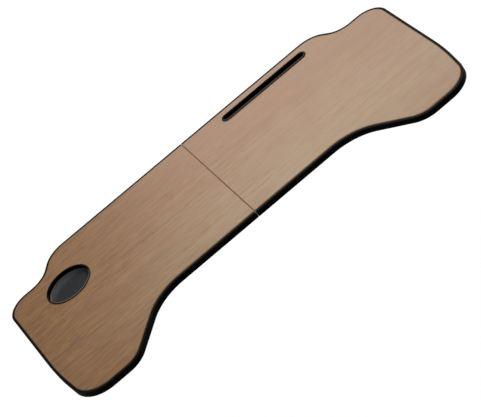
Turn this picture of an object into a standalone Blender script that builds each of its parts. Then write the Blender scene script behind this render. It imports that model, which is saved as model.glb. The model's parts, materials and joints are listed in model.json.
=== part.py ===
"""Folding steering wheel tray: two laminated half boards on butt hinges, with a cup well and a tablet slot.

The tray lies open on its feet. +X runs along its length to the right, +Y towards the dashboard and +Z up.
The origin is on the ground under the middle of the open tray. Sizes are in metres.
"""

import math

import bmesh
import bpy
from mathutils import Matrix, Vector

MM = 0.001

# Outline of the open tray: lengths between the corners as they are before their fillets
BACK_LENGTH = 695 * MM
FRONT_LENGTH = 656 * MM
DEPTH = 351 * MM
MIDDLE_DEPTH = 268 * MM
FRONT_EDGE = 84 * MM
BELLY_RUN = 75 * MM
BELLY_INNER_RADIUS = 81 * MM
BELLY_OUTER_RADIUS = 42 * MM
BACK_STEP = 44.5 * MM
BACK_STEP_RUN = 31 * MM
BACK_STEP_EDGE = 67.5 * MM
BACK_STEP_INNER_RADIUS = 44 * MM
BACK_STEP_OUTER_RADIUS = 37.5 * MM
BACK_CORNER_RADIUS = 34 * MM
FRONT_CORNER_RADIUS = 46 * MM

# Bulge of the end edges: where it lies, as a share of the way to the front, how far out, and its radius
END_BULGE_SHARE = 0.7
END_BULGE = 8 * MM
END_BULGE_RADIUS = 500 * MM

# Boards: a core between two laminates, a moulded band round it and tape on the seam face
THICKNESS = 9 * MM
LAMINATE = 0.8 * MM
BAND = 3.5 * MM
BAND_ARRIS = 1.3 * MM
SEAM_GAP = 0.6 * MM
SEAM_TAPE = 0.6 * MM

# Fits: between pieces that touch, round a screw shank, and how far a cutter runs past what it cuts
FIT = 0.3 * MM
PILOT_FIT = 0.3 * MM
OVERCUT = 1 * MM

# Cup well in the left half, set in from the back corner and from the back edge
CUP_INSET = 93 * MM
CUP_SETBACK = 99.5 * MM
CUP_RADIUS = 34 * MM
CUP_WALL = 1.2 * MM
CUP_FLANGE = 1 * MM
CUP_CORNER = 1.5 * MM
MAT = 1 * MM
MAT_CHAMFER = 0.5 * MM

# Tablet slot in the right half, from the seam and from the back edge
SLOT_X = 145 * MM
SLOT_SETBACK = 27 * MM
SLOT_LENGTH = 151 * MM
SLOT_WIDTH = 12 * MM
SLOT_WALL = 1.2 * MM
SLOT_FLANGE = 1.5 * MM

# Height and arris of the flanges that both liners rest on the top with
FLANGE_HEIGHT = 0.8 * MM
FLANGE_ARRIS = 0.4 * MM

# Rubber feet. The outer ones are set in from the corners, the inner ones from the seam and the edges
FOOT_HEIGHT = 8 * MM
FOOT_RADIUS = 9 * MM
FOOT_TIP_RADIUS = 7.5 * MM
FOOT_CHAMFER = 0.8 * MM
FOOT_RECESS_RADIUS = 4 * MM
FOOT_RECESS_DEPTH = 4.5 * MM
BACK_FOOT_INSET = 42.5 * MM
BACK_FOOT_SETBACK = 88 * MM
FRONT_FOOT_INSET = 24 * MM
FRONT_FOOT_MARGIN = 39 * MM
LEFT_INNER_FOOT_X = 70 * MM
RIGHT_INNER_FOOT_X = 100 * MM
INNER_FEET_MARGIN = 47 * MM

# Butt hinges under the seam
HINGE_LENGTH = 60 * MM
HINGE_PITCH = 160 * MM
HINGE_WIDTH = 20 * MM
LEAF = 1.2 * MM
PIN_RADIUS = 1.5 * MM
PIN_HEAD_RADIUS = 2.2 * MM
PIN_HEAD = 0.8 * MM
PIN_CROWN_RADIUS = 1.3 * MM
PIN_CROWN = 0.4 * MM
KNUCKLES = 5
LEAF_SCREW_X = 14 * MM
LEAF_MIDDLE_SCREW_X = 9 * MM
LEAF_SCREW_SPREAD = 22 * MM

# Slide lock between the hinges
BOLT_WIDTH = 14 * MM
BOLT = 2 * MM
BOLT_NOSE = 4 * MM
BOLT_SETBACK = 2 * MM
BOLT_TRAVEL = 20 * MM
BOLT_TAIL = 3 * MM
KNOB_RADIUS = 4.5 * MM
KNOB_NECK_RADIUS = 2.5 * MM
KNOB_NECK = 1.2 * MM
KNOB_HEAD = 3.2 * MM
KNOB_CHAMFER = 0.8 * MM
KNOB_RIVET_RADIUS = 1.8 * MM
STRAP = 1 * MM
STRAP_WIDTH = 8 * MM
STRAP_FLANGE = 9 * MM
NEAR_GUIDE_X = 24 * MM
KNOB_CLEARANCE = 1 * MM
KEEPER_X = 12 * MM
KEEPER_PLAY = 0.8 * MM
SPACER_RADIUS = 3.5 * MM

# Screws: countersunk in the hinge leaves, pan headed in the straps and the feet
SCREW_RADIUS = 1.2 * MM
SCREW_BITE = 4.6 * MM
SCREW_POINT = 1.2 * MM
COUNTERSUNK_RADIUS = 2.3 * MM
PAN_RADIUS = 2.4 * MM
PAN_HEIGHT = 1.4 * MM
PAN_SHOULDER = 0.9 * MM
FOOT_SCREW_HEAD_RADIUS = 3.3 * MM

# Facets of the curved shapes
ARC_STEP = math.radians(7.5)
ARRIS_STEP = math.radians(45)
CUP_SIDES = 48
SLOT_END_SIDES = 10
FOOT_SIDES = 16
KNUCKLE_SIDES = 16
SCREW_SIDES = 8
KNOB_SIDES = 16
SPACER_SIDES = 12
SMOOTH_ANGLE = math.radians(35)

# Levels and places that follow from the sizes
UNDERSIDE = FOOT_HEIGHT + FIT
TOP = UNDERSIDE + THICKNESS
CORE_BOTTOM = UNDERSIDE + LAMINATE + FIT
CORE_TOP = TOP - LAMINATE - FIT
BORE_RADIUS = PIN_RADIUS + FIT
KNUCKLE_RADIUS = BORE_RADIUS + LEAF
AXIS_HEIGHT = UNDERSIDE - FIT - KNUCKLE_RADIUS
LEAF_TOP = UNDERSIDE - FIT
LEAF_BOTTOM = LEAF_TOP - LEAF
BOLT_TOP = UNDERSIDE - FIT
BOLT_BOTTOM = BOLT_TOP - BOLT
BRIDGE_TOP = BOLT_BOTTOM - FIT
FLANGE_BOTTOM = TOP + FIT
FLANGE_TOP = FLANGE_BOTTOM + FLANGE_HEIGHT
BACK_EDGE = DEPTH / 2
FRONT_EDGE_Y = BACK_EDGE - DEPTH
SEAM_FRONT = BACK_EDGE - MIDDLE_DEPTH
SEAM_MIDDLE = (BACK_EDGE + SEAM_FRONT) / 2
PILOT_RADIUS = SCREW_RADIUS + PILOT_FIT
PILOT_TOP = CORE_BOTTOM + SCREW_BITE + FIT
LEFT = -1
RIGHT = 1


def clear_scene():
    """Removes every object of the open file."""
    for old in list(bpy.data.objects):
        bpy.data.objects.remove(old, do_unlink=True)


def new_collection(name):
    """Adds a collection under the scene's own."""
    collection = bpy.data.collections.new(name)
    bpy.context.scene.collection.children.link(collection)
    return collection


def material(name, color, roughness, metallic=0.0):
    """Returns a Principled material of one linear colour."""
    made = bpy.data.materials.new(name)
    made.use_nodes = True
    shader = made.node_tree.nodes["Principled BSDF"]
    shader.inputs["Base Color"].default_value = (*color, 1.0)
    shader.inputs["Roughness"].default_value = roughness
    shader.inputs["Metallic"].default_value = metallic
    return made


def wood_laminate(name):
    """Wood-grain melamine laminate, brown and matt."""
    return material(name, (0.40, 0.28, 0.20), 0.55)


def fibreboard(name):
    """Raw fibreboard."""
    return material(name, (0.33, 0.20, 0.11), 0.85)


def black_moulding(name):
    """Black moulded plastic with a satin finish."""
    return material(name, (0.012, 0.012, 0.013), 0.35)


def grey_foam(name):
    """Dark grey closed-cell foam."""
    return material(name, (0.045, 0.046, 0.048), 0.8)


def rubber(name):
    """Black rubber."""
    return material(name, (0.02, 0.02, 0.02), 0.75)


def zinc_steel(name):
    """Zinc-plated steel."""
    return material(name, (0.56, 0.57, 0.58), 0.32, 1.0)


def empty(name, location, parent=None):
    """Adds an empty that carries the pieces of one moving body."""
    made = bpy.data.objects.new(name, None)
    made.empty_display_size = 20 * MM
    parts.objects.link(made)
    seat(made, location, parent)
    return made


def seat(piece, location, parent):
    """Places a piece at a world location under its parent, whose own turn is zero."""
    base = Vector((0, 0, 0))
    carrier = parent
    while carrier:
        base += carrier.location
        carrier = carrier.parent
    piece.parent = parent
    piece.location = Vector(location) - base


def finish(piece, make_material, parent, location=(0, 0, 0)):
    """Links a piece to the tray with its own material."""
    parts.objects.link(piece)
    piece.data.materials.append(make_material(piece.name))
    seat(piece, location, parent)
    return piece


def repeat(name, mesh, make_material, parent, places):
    """Adds numbered pieces that share one mesh and one material, each at its own place."""
    mesh.materials.append(make_material(name))
    for number, (x, y) in enumerate(places, start=1):
        piece = bpy.data.objects.new(f"{name}_{number}", mesh)
        parts.objects.link(piece)
        seat(piece, (x, y, 0), parent)


def cutter(mesh, name):
    """Adds a cutter object, hidden in renders."""
    made = bpy.data.objects.new(name, mesh)
    made.hide_render = True
    made.display_type = "WIRE"
    cutters.objects.link(made)
    return made


def cut(piece, tool):
    """Cuts a piece with a cutter object."""
    boolean = piece.modifiers.new(tool.name, "BOOLEAN")
    boolean.operation = "DIFFERENCE"
    boolean.solver = "EXACT"
    boolean.object = tool


def offset_corners(corners, edge, seam):
    """Moves the edges of a clockwise outline inwards: the last, the seam, to seam and the others by edge.

    A corner is (x, y, fillet radius). A fillet shrinks at an outward corner and grows at an inward one.
    """
    lines = []
    for index, (x, y, _) in enumerate(corners):
        end_x, end_y, _ = corners[(index + 1) % len(corners)]
        along = Vector((end_x - x, end_y - y)).normalized()
        inward = Vector((along.y, -along.x))
        shift = seam if index == len(corners) - 1 else edge
        lines.append((Vector((x, y)) + inward * shift, along))
    moved = []
    for index, (_, _, radius) in enumerate(corners):
        before_point, before = lines[index - 1]
        after_point, after = lines[index]
        turn = before.cross(after)
        step = (after_point - before_point).cross(after) / turn
        place = before_point + before * step
        fillet = radius - math.copysign(edge, -turn) if radius else 0
        moved.append((place.x, place.y, fillet))
    return moved


def rounded(corners, arc_step):
    """Points of a closed outline with an arc at each corner (x, y, radius), one facet for each arc_step."""
    points = []
    for index, (x, y, radius) in enumerate(corners):
        if not radius:
            points.append((x, y))
            continue
        corner = Vector((x, y))
        before = (corner - Vector(corners[index - 1][:2])).normalized()
        after = (Vector(corners[(index + 1) % len(corners)][:2]) - corner).normalized()
        turn = before.angle_signed(after)
        start = corner - before * radius * math.tan(abs(turn) / 2)
        side = Vector((before.y, -before.x)) * math.copysign(radius, turn)
        steps = max(2, round(abs(turn) / arc_step))
        for count in range(steps + 1):
            arm = Matrix.Rotation(-turn * count / steps, 2) @ -side
            points.append(tuple(start + side + arm))
    return points


def half_outline(side, edge, seam):
    """Outline of one half board, moved in by edge all round and kept seam from the middle of the tray."""
    back_corner = BACK_LENGTH / 2
    front_corner = FRONT_LENGTH / 2
    step_outer = back_corner - BACK_STEP_EDGE
    belly_outer = front_corner - FRONT_EDGE
    end_back = BACK_EDGE - BACK_STEP
    bulge_x = back_corner + (front_corner - back_corner) * END_BULGE_SHARE + END_BULGE
    bulge_y = end_back + (FRONT_EDGE_Y - end_back) * END_BULGE_SHARE
    corners = [
        (0, BACK_EDGE, 0),
        (step_outer - BACK_STEP_RUN, BACK_EDGE, BACK_STEP_INNER_RADIUS),
        (step_outer, end_back, BACK_STEP_OUTER_RADIUS),
        (back_corner, end_back, BACK_CORNER_RADIUS),
        (bulge_x, bulge_y, END_BULGE_RADIUS),
        (front_corner, FRONT_EDGE_Y, FRONT_CORNER_RADIUS),
        (belly_outer, FRONT_EDGE_Y, BELLY_OUTER_RADIUS),
        (belly_outer - BELLY_RUN, SEAM_FRONT, BELLY_INNER_RADIUS),
        (0, SEAM_FRONT, 0),
    ]
    points = rounded(offset_corners(corners, edge, seam), ARC_STEP)
    return [(side * x, y) for x, y in points]


def circle(center, radius, sides):
    """Points of a circle, one of its flats facing +X."""
    turns = [2 * math.pi * (index + 0.5) / sides for index in range(sides)]
    return [(center[0] + radius * math.cos(a), center[1] + radius * math.sin(a)) for a in turns]


def stadium(center, length, width, sides):
    """Points of a slot with round ends, length end to end along X."""
    points = []
    for end in (RIGHT, LEFT):
        middle = center[0] + end * (length - width) / 2
        for index in range(sides + 1):
            angle = math.pi * index / sides - math.pi / 2
            arm_x = width / 2 * math.cos(angle)
            arm_y = width / 2 * math.sin(angle)
            points.append((middle + end * arm_x, center[1] + end * arm_y))
    return points


def flat_curve(name, loops, thickness):
    """Returns a 2D curve of closed loops, the first the outline and the rest holes, filled and extruded."""
    curve = bpy.data.curves.new(name, "CURVE")
    curve.dimensions = "2D"
    curve.fill_mode = "BOTH"
    curve.extrude = thickness / 2
    for loop in loops:
        spline = curve.splines.new("POLY")
        spline.points.add(len(loop) - 1)
        for point, (x, y) in zip(spline.points, loop):
            point.co = (x, y, 0, 1)
        spline.use_cyclic_u = True
    return curve


def plate(name, loops, low, high, make_material, parent):
    """Adds a flat piece between two heights."""
    curve = flat_curve(name, loops, high - low)
    piece = bpy.data.objects.new(name, curve)
    return finish(piece, make_material, parent, (0, 0, (low + high) / 2))


def mesh_from(source, name, turn=None, shift=(0, 0, 0)):
    """Returns the welded mesh of a curve, or of a helper object with its modifiers applied."""
    helper = source if isinstance(source, bpy.types.Object) else bpy.data.objects.new(name, source)
    bpy.context.scene.collection.objects.link(helper)
    graph = bpy.context.evaluated_depsgraph_get()
    mesh = bpy.data.meshes.new_from_object(helper.evaluated_get(graph))
    mesh.name = name
    bpy.data.objects.remove(helper, do_unlink=True)
    shape = bmesh.new()
    shape.from_mesh(mesh)
    bmesh.ops.remove_doubles(shape, verts=shape.verts, dist=0.001 * MM)
    if turn:
        bmesh.ops.transform(shape, matrix=turn, verts=shape.verts)
    bmesh.ops.translate(shape, vec=Vector(shift), verts=shape.verts)
    bmesh.ops.recalc_face_normals(shape, faces=shape.faces)
    shape.to_mesh(mesh)
    shape.free()
    return mesh


def turned(name, profile, sides):
    """Returns the mesh of a profile of (radius, height) points turned about Z."""
    mesh = bpy.data.meshes.new(name)
    vertices = [(radius, 0, height) for radius, height in profile]
    edges = [(index, index + 1) for index in range(len(profile) - 1)]
    if profile[0][0] > 0:
        edges.append((len(profile) - 1, 0))
    mesh.from_pydata(vertices, edges, [])
    helper = bpy.data.objects.new(name, mesh)
    screw = helper.modifiers.new("turn", "SCREW")
    screw.axis = "Z"
    screw.steps = sides
    screw.render_steps = sides
    screw.use_merge_vertices = True
    screw.merge_threshold = 0.001 * MM
    return mesh_from(helper, name)


def lofted(name, sections):
    """Returns the mesh of a loft through closed rings of points, with its first and last rings capped."""
    shape = bmesh.new()
    rings = [[shape.verts.new(point) for point in section] for section in sections]
    for ring, following in zip(rings, rings[1:]):
        for index in range(len(ring)):
            corners = (ring[index - 1], ring[index], following[index], following[index - 1])
            shape.faces.new(corners)
    shape.faces.new(rings[0])
    shape.faces.new(rings[-1])
    bmesh.ops.recalc_face_normals(shape, faces=shape.faces)
    mesh = bpy.data.meshes.new(name)
    shape.to_mesh(mesh)
    shape.free()
    return mesh


def copies(name, mesh, places):
    """Returns one mesh with a separate copy of a mesh at each place."""
    shape = bmesh.new()
    for place in places:
        start = len(shape.verts)
        shape.from_mesh(mesh)
        shape.verts.ensure_lookup_table()
        bmesh.ops.translate(shape, vec=Vector(place), verts=shape.verts[start:])
    joined = bpy.data.meshes.new(name)
    shape.to_mesh(joined)
    shape.free()
    return joined


def cylinder(radius, low, high, sides, top_radius=None):
    """Returns the mesh of an upright cylinder or cone between two heights."""
    shape = bmesh.new()
    bmesh.ops.create_cone(
        shape,
        cap_ends=True,
        segments=sides,
        radius1=radius,
        radius2=radius if top_radius is None else top_radius,
        depth=high - low,
        matrix=Matrix.Translation((0, 0, (low + high) / 2)),
    )
    mesh = bpy.data.meshes.new("cylinder")
    shape.to_mesh(mesh)
    shape.free()
    return mesh


def block(low, high):
    """Returns the mesh of a box between two corners."""
    shape = bmesh.new()
    low = Vector(low)
    high = Vector(high)
    size = Matrix.Diagonal((*(high - low), 1))
    bmesh.ops.create_cube(shape, size=1, matrix=Matrix.Translation((low + high) / 2) @ size)
    mesh = bpy.data.meshes.new("block")
    shape.to_mesh(mesh)
    shape.free()
    return mesh


def shade_round(mesh):
    """Shades a mesh smooth, apart from its sharp edges, and returns it."""
    mesh.shade_smooth()
    mesh.set_sharp_from_angle(angle=SMOOTH_ANGLE)
    return mesh


def hinge_centers():
    """Y of each hinge by name."""
    return {"back": SEAM_MIDDLE + HINGE_PITCH / 2, "front": SEAM_MIDDLE - HINGE_PITCH / 2}


def guide_places():
    """X of the two straps that guide a bolt, with the knob's travel between them."""
    room = BOLT_TRAVEL + 2 * KNOB_RADIUS + 2 * KNOB_CLEARANCE
    return [NEAR_GUIDE_X, NEAR_GUIDE_X + STRAP_WIDTH + room]


def knob_place():
    """X of the knob on a bolt that is drawn back."""
    return guide_places()[1] - STRAP_WIDTH / 2 - KNOB_CLEARANCE - KNOB_RADIUS


def leaf_screws(side, center):
    """Places of the three screws of a hinge leaf, the middle one nearer to the pin."""
    return [
        (side * LEAF_SCREW_X, center + LEAF_SCREW_SPREAD),
        (side * LEAF_MIDDLE_SCREW_X, center),
        (side * LEAF_SCREW_X, center - LEAF_SCREW_SPREAD),
    ]


def guide_screws(x):
    """Places of the two screws of a strap that guides the bolt."""
    offset = BOLT_WIDTH / 2 + FIT + STRAP + STRAP_FLANGE / 2
    return [(x, SEAM_MIDDLE + offset), (x, SEAM_MIDDLE - offset)]


def keeper_screws():
    """Places of the two screws of the keeper, with the bolt's path between their spacers."""
    offset = BOLT_WIDTH / 2 + KEEPER_PLAY + SPACER_RADIUS
    return [(-KEEPER_X, SEAM_MIDDLE + offset), (-KEEPER_X, SEAM_MIDDLE - offset)]


def feet_places(side):
    """Places of the four feet of one half. The inner pairs are staggered, so that they pass in the fold."""
    inner_x = LEFT_INNER_FOOT_X if side == LEFT else RIGHT_INNER_FOOT_X
    return [
        (side * inner_x, BACK_EDGE - INNER_FEET_MARGIN),
        (side * inner_x, SEAM_FRONT + INNER_FEET_MARGIN),
        (side * (BACK_LENGTH / 2 - BACK_FOOT_INSET), BACK_EDGE - BACK_FOOT_SETBACK),
        (side * (FRONT_LENGTH / 2 - FRONT_FOOT_INSET), FRONT_EDGE_Y + FRONT_FOOT_MARGIN),
    ]


def pilots(side):
    """Places of every screw that goes into one half."""
    places = feet_places(side)
    for center in hinge_centers().values():
        places += leaf_screws(side, center)
    if side == LEFT:
        return places + keeper_screws()
    for x in guide_places():
        places += guide_screws(x)
    return places


def core_board(side, opening, name, parent):
    """Adds the fibreboard core of one half, with its opening and the blind pilot holes of its screws."""
    outline = half_outline(side, BAND + FIT, SEAM_GAP / 2 + SEAM_TAPE + FIT)
    curve = flat_curve(name, [outline, opening], CORE_TOP - CORE_BOTTOM)
    mesh = mesh_from(curve, name, shift=(0, 0, (CORE_BOTTOM + CORE_TOP) / 2))
    drill = cylinder(PILOT_RADIUS, CORE_BOTTOM - OVERCUT, PILOT_TOP, SCREW_SIDES)
    places = [(x, y, 0) for x, y in pilots(side)]
    board = finish(bpy.data.objects.new(name, mesh), fibreboard, parent)
    cut(board, cutter(copies(name + "_pilots", drill, places), name + "_pilots"))


def edge_band(side, name, parent):
    """Adds the moulded band that runs round one half from seam end to seam end."""
    half_width = BAND / 2
    half_height = THICKNESS / 2
    corners = [
        (-half_width, -half_height, BAND_ARRIS),
        (-half_width, half_height, BAND_ARRIS),
        (half_width, half_height, 0),
        (half_width, -half_height, 0),
    ]
    profile = bpy.data.curves.new(name + "_profile", "CURVE")
    profile.dimensions = "2D"
    section = profile.splines.new("POLY")
    points = rounded(corners, ARRIS_STEP)
    section.points.add(len(points) - 1)
    for point, (x, y) in zip(section.points, points):
        point.co = (x, y, 0, 1)
    section.use_cyclic_u = True
    guide = bpy.data.objects.new(name + "_profile", profile)
    guide.hide_render = True
    guide.display_type = "WIRE"
    cutters.objects.link(guide)

    path = half_outline(side, half_width, SEAM_GAP / 2)
    if side == LEFT:
        path.reverse()
    curve = bpy.data.curves.new(name, "CURVE")
    curve.dimensions = "3D"
    curve.twist_mode = "Z_UP"
    curve.bevel_mode = "OBJECT"
    curve.bevel_object = guide
    curve.use_fill_caps = True
    spline = curve.splines.new("POLY")
    spline.points.add(len(path) - 1)
    for point, (x, y) in zip(spline.points, path):
        point.co = (x, y, 0, 1)
    band = bpy.data.objects.new(name, curve)
    return finish(band, black_moulding, parent, (0, 0, UNDERSIDE + half_height))


def half_board(side, opening, parent):
    """Adds the boards, laminates, band and seam tape of one half."""
    name = "left" if side == LEFT else "right"
    core_board(side, opening, name + "_core_board", parent)
    outline = half_outline(side, BAND + FIT, SEAM_GAP / 2 + SEAM_TAPE + FIT)
    plate(name + "_top_laminate", [outline, opening], CORE_TOP + FIT, TOP, wood_laminate, parent)
    holes = [circle(place, PILOT_RADIUS, SCREW_SIDES) for place in pilots(side)]
    if side == RIGHT:
        holes.append(opening)
    bottom = [outline] + holes
    plate(name + "_bottom_laminate", bottom, UNDERSIDE, CORE_BOTTOM - FIT, wood_laminate, parent)
    edge_band(side, name + "_edge_band", parent)
    seam_x = (side * SEAM_GAP / 2, side * (SEAM_GAP / 2 + SEAM_TAPE))
    back = BACK_EDGE - BAND - FIT
    front = SEAM_FRONT + BAND + FIT
    tape = [(seam_x[0], back), (seam_x[1], back), (seam_x[1], front), (seam_x[0], front)]
    plate(name + "_seam_tape", [tape], UNDERSIDE, TOP, wood_laminate, parent)


def cup_center():
    """Middle of the cup well."""
    return (CUP_INSET - BACK_LENGTH / 2, BACK_EDGE - CUP_SETBACK)


def cup_opening():
    """Hole in the left boards that the cup well drops into."""
    return circle(cup_center(), CUP_RADIUS + CUP_WALL + FIT, CUP_SIDES)


def cup_well(parent):
    """Adds the moulded dish of the cup well and the foam mat in it."""
    outer = CUP_RADIUS + CUP_WALL
    flange = outer + FIT + CUP_FLANGE
    bottom = CORE_BOTTOM
    floor = bottom + CUP_WALL
    profile = [
        (0, floor),
        (CUP_RADIUS - CUP_CORNER, floor),
        (CUP_RADIUS, floor + CUP_CORNER),
        (CUP_RADIUS, FLANGE_TOP - FLANGE_ARRIS),
        (CUP_RADIUS + FLANGE_ARRIS, FLANGE_TOP),
        (flange - FLANGE_ARRIS, FLANGE_TOP),
        (flange, FLANGE_TOP - FLANGE_ARRIS),
        (flange, FLANGE_BOTTOM),
        (outer, FLANGE_BOTTOM),
        (outer, bottom + CUP_CORNER),
        (outer - CUP_CORNER, bottom),
        (0, bottom),
    ]
    dish = shade_round(turned("cup_well", profile, CUP_SIDES))
    finish(bpy.data.objects.new("cup_well", dish), black_moulding, parent, (*cup_center(), 0))
    low = floor + FIT
    radius = CUP_RADIUS - CUP_CORNER - FIT
    mat_profile = [
        (0, low + MAT),
        (radius - MAT_CHAMFER, low + MAT),
        (radius, low + MAT - MAT_CHAMFER),
        (radius, low),
        (0, low),
    ]
    mat = shade_round(turned("cup_mat", mat_profile, CUP_SIDES))
    finish(bpy.data.objects.new("cup_mat", mat), grey_foam, parent, (*cup_center(), 0))


def slot_center():
    """Middle of the tablet slot."""
    return (SLOT_X, BACK_EDGE - SLOT_SETBACK)


def slot_loop(grow):
    """Outline of the tablet slot, grown on all sides."""
    return stadium(slot_center(), SLOT_LENGTH + 2 * grow, SLOT_WIDTH + 2 * grow, SLOT_END_SIDES)


def slot_liner(parent):
    """Adds the moulded trough of the tablet slot, with a flange that rests on the top."""
    outer = SLOT_WALL
    flange = outer + FIT + SLOT_FLANGE
    floor = UNDERSIDE + SLOT_WALL
    sections = [
        (0, floor),
        (0, FLANGE_TOP - FLANGE_ARRIS),
        (FLANGE_ARRIS, FLANGE_TOP),
        (flange - FLANGE_ARRIS, FLANGE_TOP),
        (flange, FLANGE_TOP - FLANGE_ARRIS),
        (flange, FLANGE_BOTTOM),
        (outer, FLANGE_BOTTOM),
        (outer, UNDERSIDE),
    ]
    rings = [[(x, y, height) for x, y in slot_loop(grow)] for grow, height in sections]
    mesh = lofted("slot_liner", rings)
    finish(bpy.data.objects.new("slot_liner", shade_round(mesh)), black_moulding, parent)


def feet(side, parent):
    """Adds the four rubber feet of one half and the screws in them."""
    name = "left" if side == LEFT else "right"
    hole = SCREW_RADIUS + PILOT_FIT
    seat_height = FOOT_RECESS_DEPTH
    profile = [
        (hole, FOOT_HEIGHT),
        (FOOT_RADIUS, FOOT_HEIGHT),
        (FOOT_TIP_RADIUS, FOOT_CHAMFER),
        (FOOT_TIP_RADIUS - FOOT_CHAMFER, 0),
        (FOOT_RECESS_RADIUS, 0),
        (FOOT_RECESS_RADIUS, seat_height),
        (hole, seat_height),
    ]
    foot = shade_round(turned("foot", profile, FOOT_SIDES))
    repeat(name + "_foot", foot, rubber, parent, feet_places(side))
    screw = pan_screw(FOOT_SCREW_HEAD_RADIUS, seat_height - FIT)
    repeat(name + "_foot_screw", screw, zinc_steel, parent, feet_places(side))


def pan_screw(head_radius, head_top):
    """Returns the mesh of a screw driven upwards, its head's flat side at head_top."""
    tip = CORE_BOTTOM + SCREW_BITE
    profile = [
        (0, tip),
        (SCREW_RADIUS, tip - SCREW_POINT),
        (SCREW_RADIUS, head_top),
        (head_radius, head_top),
        (head_radius - PAN_SHOULDER, head_top - PAN_HEIGHT),
        (0, head_top - PAN_HEIGHT),
    ]
    return shade_round(turned("pan_screw", profile, SCREW_SIDES))


def countersunk_screw():
    """Returns the mesh of a screw driven upwards, its flat head level with the bottom of a hinge leaf."""
    tip = CORE_BOTTOM + SCREW_BITE
    profile = [
        (0, tip),
        (SCREW_RADIUS, tip - SCREW_POINT),
        (SCREW_RADIUS, LEAF_TOP),
        (COUNTERSUNK_RADIUS, LEAF_BOTTOM),
        (0, LEAF_BOTTOM),
    ]
    return shade_round(turned("countersunk_screw", profile, SCREW_SIDES))


def leaf_profile(side):
    """Section of a rolled hinge leaf about the pin: the curl, its bore, and the flat level with its top."""
    flat_top = LEAF_TOP - AXIS_HEIGHT
    flat_bottom = LEAF_BOTTOM - AXIS_HEIGHT
    start = math.asin(flat_bottom / KNUCKLE_RADIUS)
    curl = []
    for index in range(KNUCKLE_SIDES + 1):
        angle = math.pi / 2 + (2 * math.pi - (math.pi / 2 - start)) * index / KNUCKLE_SIDES
        curl.append((side * KNUCKLE_RADIUS * math.cos(angle), KNUCKLE_RADIUS * math.sin(angle)))
    outline = curl + [(side * HINGE_WIDTH, flat_bottom), (side * HINGE_WIDTH, flat_top)]
    bore = circle((0, 0), BORE_RADIUS, KNUCKLE_SIDES)
    return [outline, bore]


def hinge_leaf(side, center, name, parent):
    """Adds one leaf of a butt hinge, with its own knuckles left standing between the other leaf's."""
    curve = flat_curve(name, leaf_profile(side), HINGE_LENGTH)
    upright = Matrix.Rotation(math.pi / 2, 4, "X")
    mesh = mesh_from(curve, name, turn=upright)
    leaf = bpy.data.objects.new(name, shade_round(mesh))
    finish(leaf, zinc_steel, parent, (0, center, AXIS_HEIGHT))

    pitch = HINGE_LENGTH / KNUCKLES
    reach = KNUCKLE_RADIUS + FIT
    notches = []
    for index in range(KNUCKLES):
        own_side = RIGHT if index % 2 == 0 else LEFT
        if own_side == side:
            continue
        middle = (index + 0.5) * pitch - HINGE_LENGTH / 2
        notches.append((0, center + middle, AXIS_HEIGHT))
    gap = (pitch + FIT) / 2
    notch = block((-reach, -gap, -reach), (reach, gap, reach))
    cut(leaf, cutter(copies(name + "_notches", notch, notches), name + "_notches"))

    low = LEAF_BOTTOM - OVERCUT
    high = LEAF_TOP + OVERCUT
    hole = cylinder(PILOT_RADIUS, low, high, SCREW_SIDES)
    slope = (COUNTERSUNK_RADIUS - SCREW_RADIUS) / LEAF
    wide = COUNTERSUNK_RADIUS + FIT + slope * OVERCUT
    narrow = SCREW_RADIUS + FIT - slope * OVERCUT
    sink = cylinder(wide, low, high, SCREW_SIDES, top_radius=narrow)
    places = [(x, y, 0) for x, y in leaf_screws(side, center)]
    cut(leaf, cutter(copies(name + "_holes", hole, places), name + "_holes"))
    cut(leaf, cutter(copies(name + "_sinks", sink, places), name + "_sinks"))


def hinge_pin(center, name, parent):
    """Adds a headed hinge pin along Y."""
    half = HINGE_LENGTH / 2 + FIT
    end = half + PIN_HEAD
    profile = [
        (0, end),
        (PIN_CROWN_RADIUS, end),
        (PIN_HEAD_RADIUS, end - PIN_CROWN),
        (PIN_HEAD_RADIUS, half),
        (PIN_RADIUS, half),
        (PIN_RADIUS, -half),
        (PIN_HEAD_RADIUS, -half),
        (PIN_HEAD_RADIUS, PIN_CROWN - end),
        (PIN_CROWN_RADIUS, -end),
        (0, -end),
    ]
    mesh = turned(name, profile, KNUCKLE_SIDES)
    mesh.transform(Matrix.Rotation(math.pi / 2, 4, "X"))
    pin = bpy.data.objects.new(name, shade_round(mesh))
    finish(pin, zinc_steel, parent, (0, center, AXIS_HEIGHT))


def hinges(right_half, left_half):
    """Adds the butt hinges and the screws of their leaves. The pin stays in the right leaf's knuckles."""
    for label, center in hinge_centers().items():
        name = label + "_hinge"
        hinge_pin(center, name + "_pin", right_half)
        for side, carrier, half in ((RIGHT, right_half, "right"), (LEFT, left_half, "left")):
            hinge_leaf(side, center, f"{name}_{half}_leaf", carrier)
            screws = f"{name}_{half}_screw"
            repeat(screws, countersunk_screw(), zinc_steel, carrier, leaf_screws(side, center))


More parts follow.
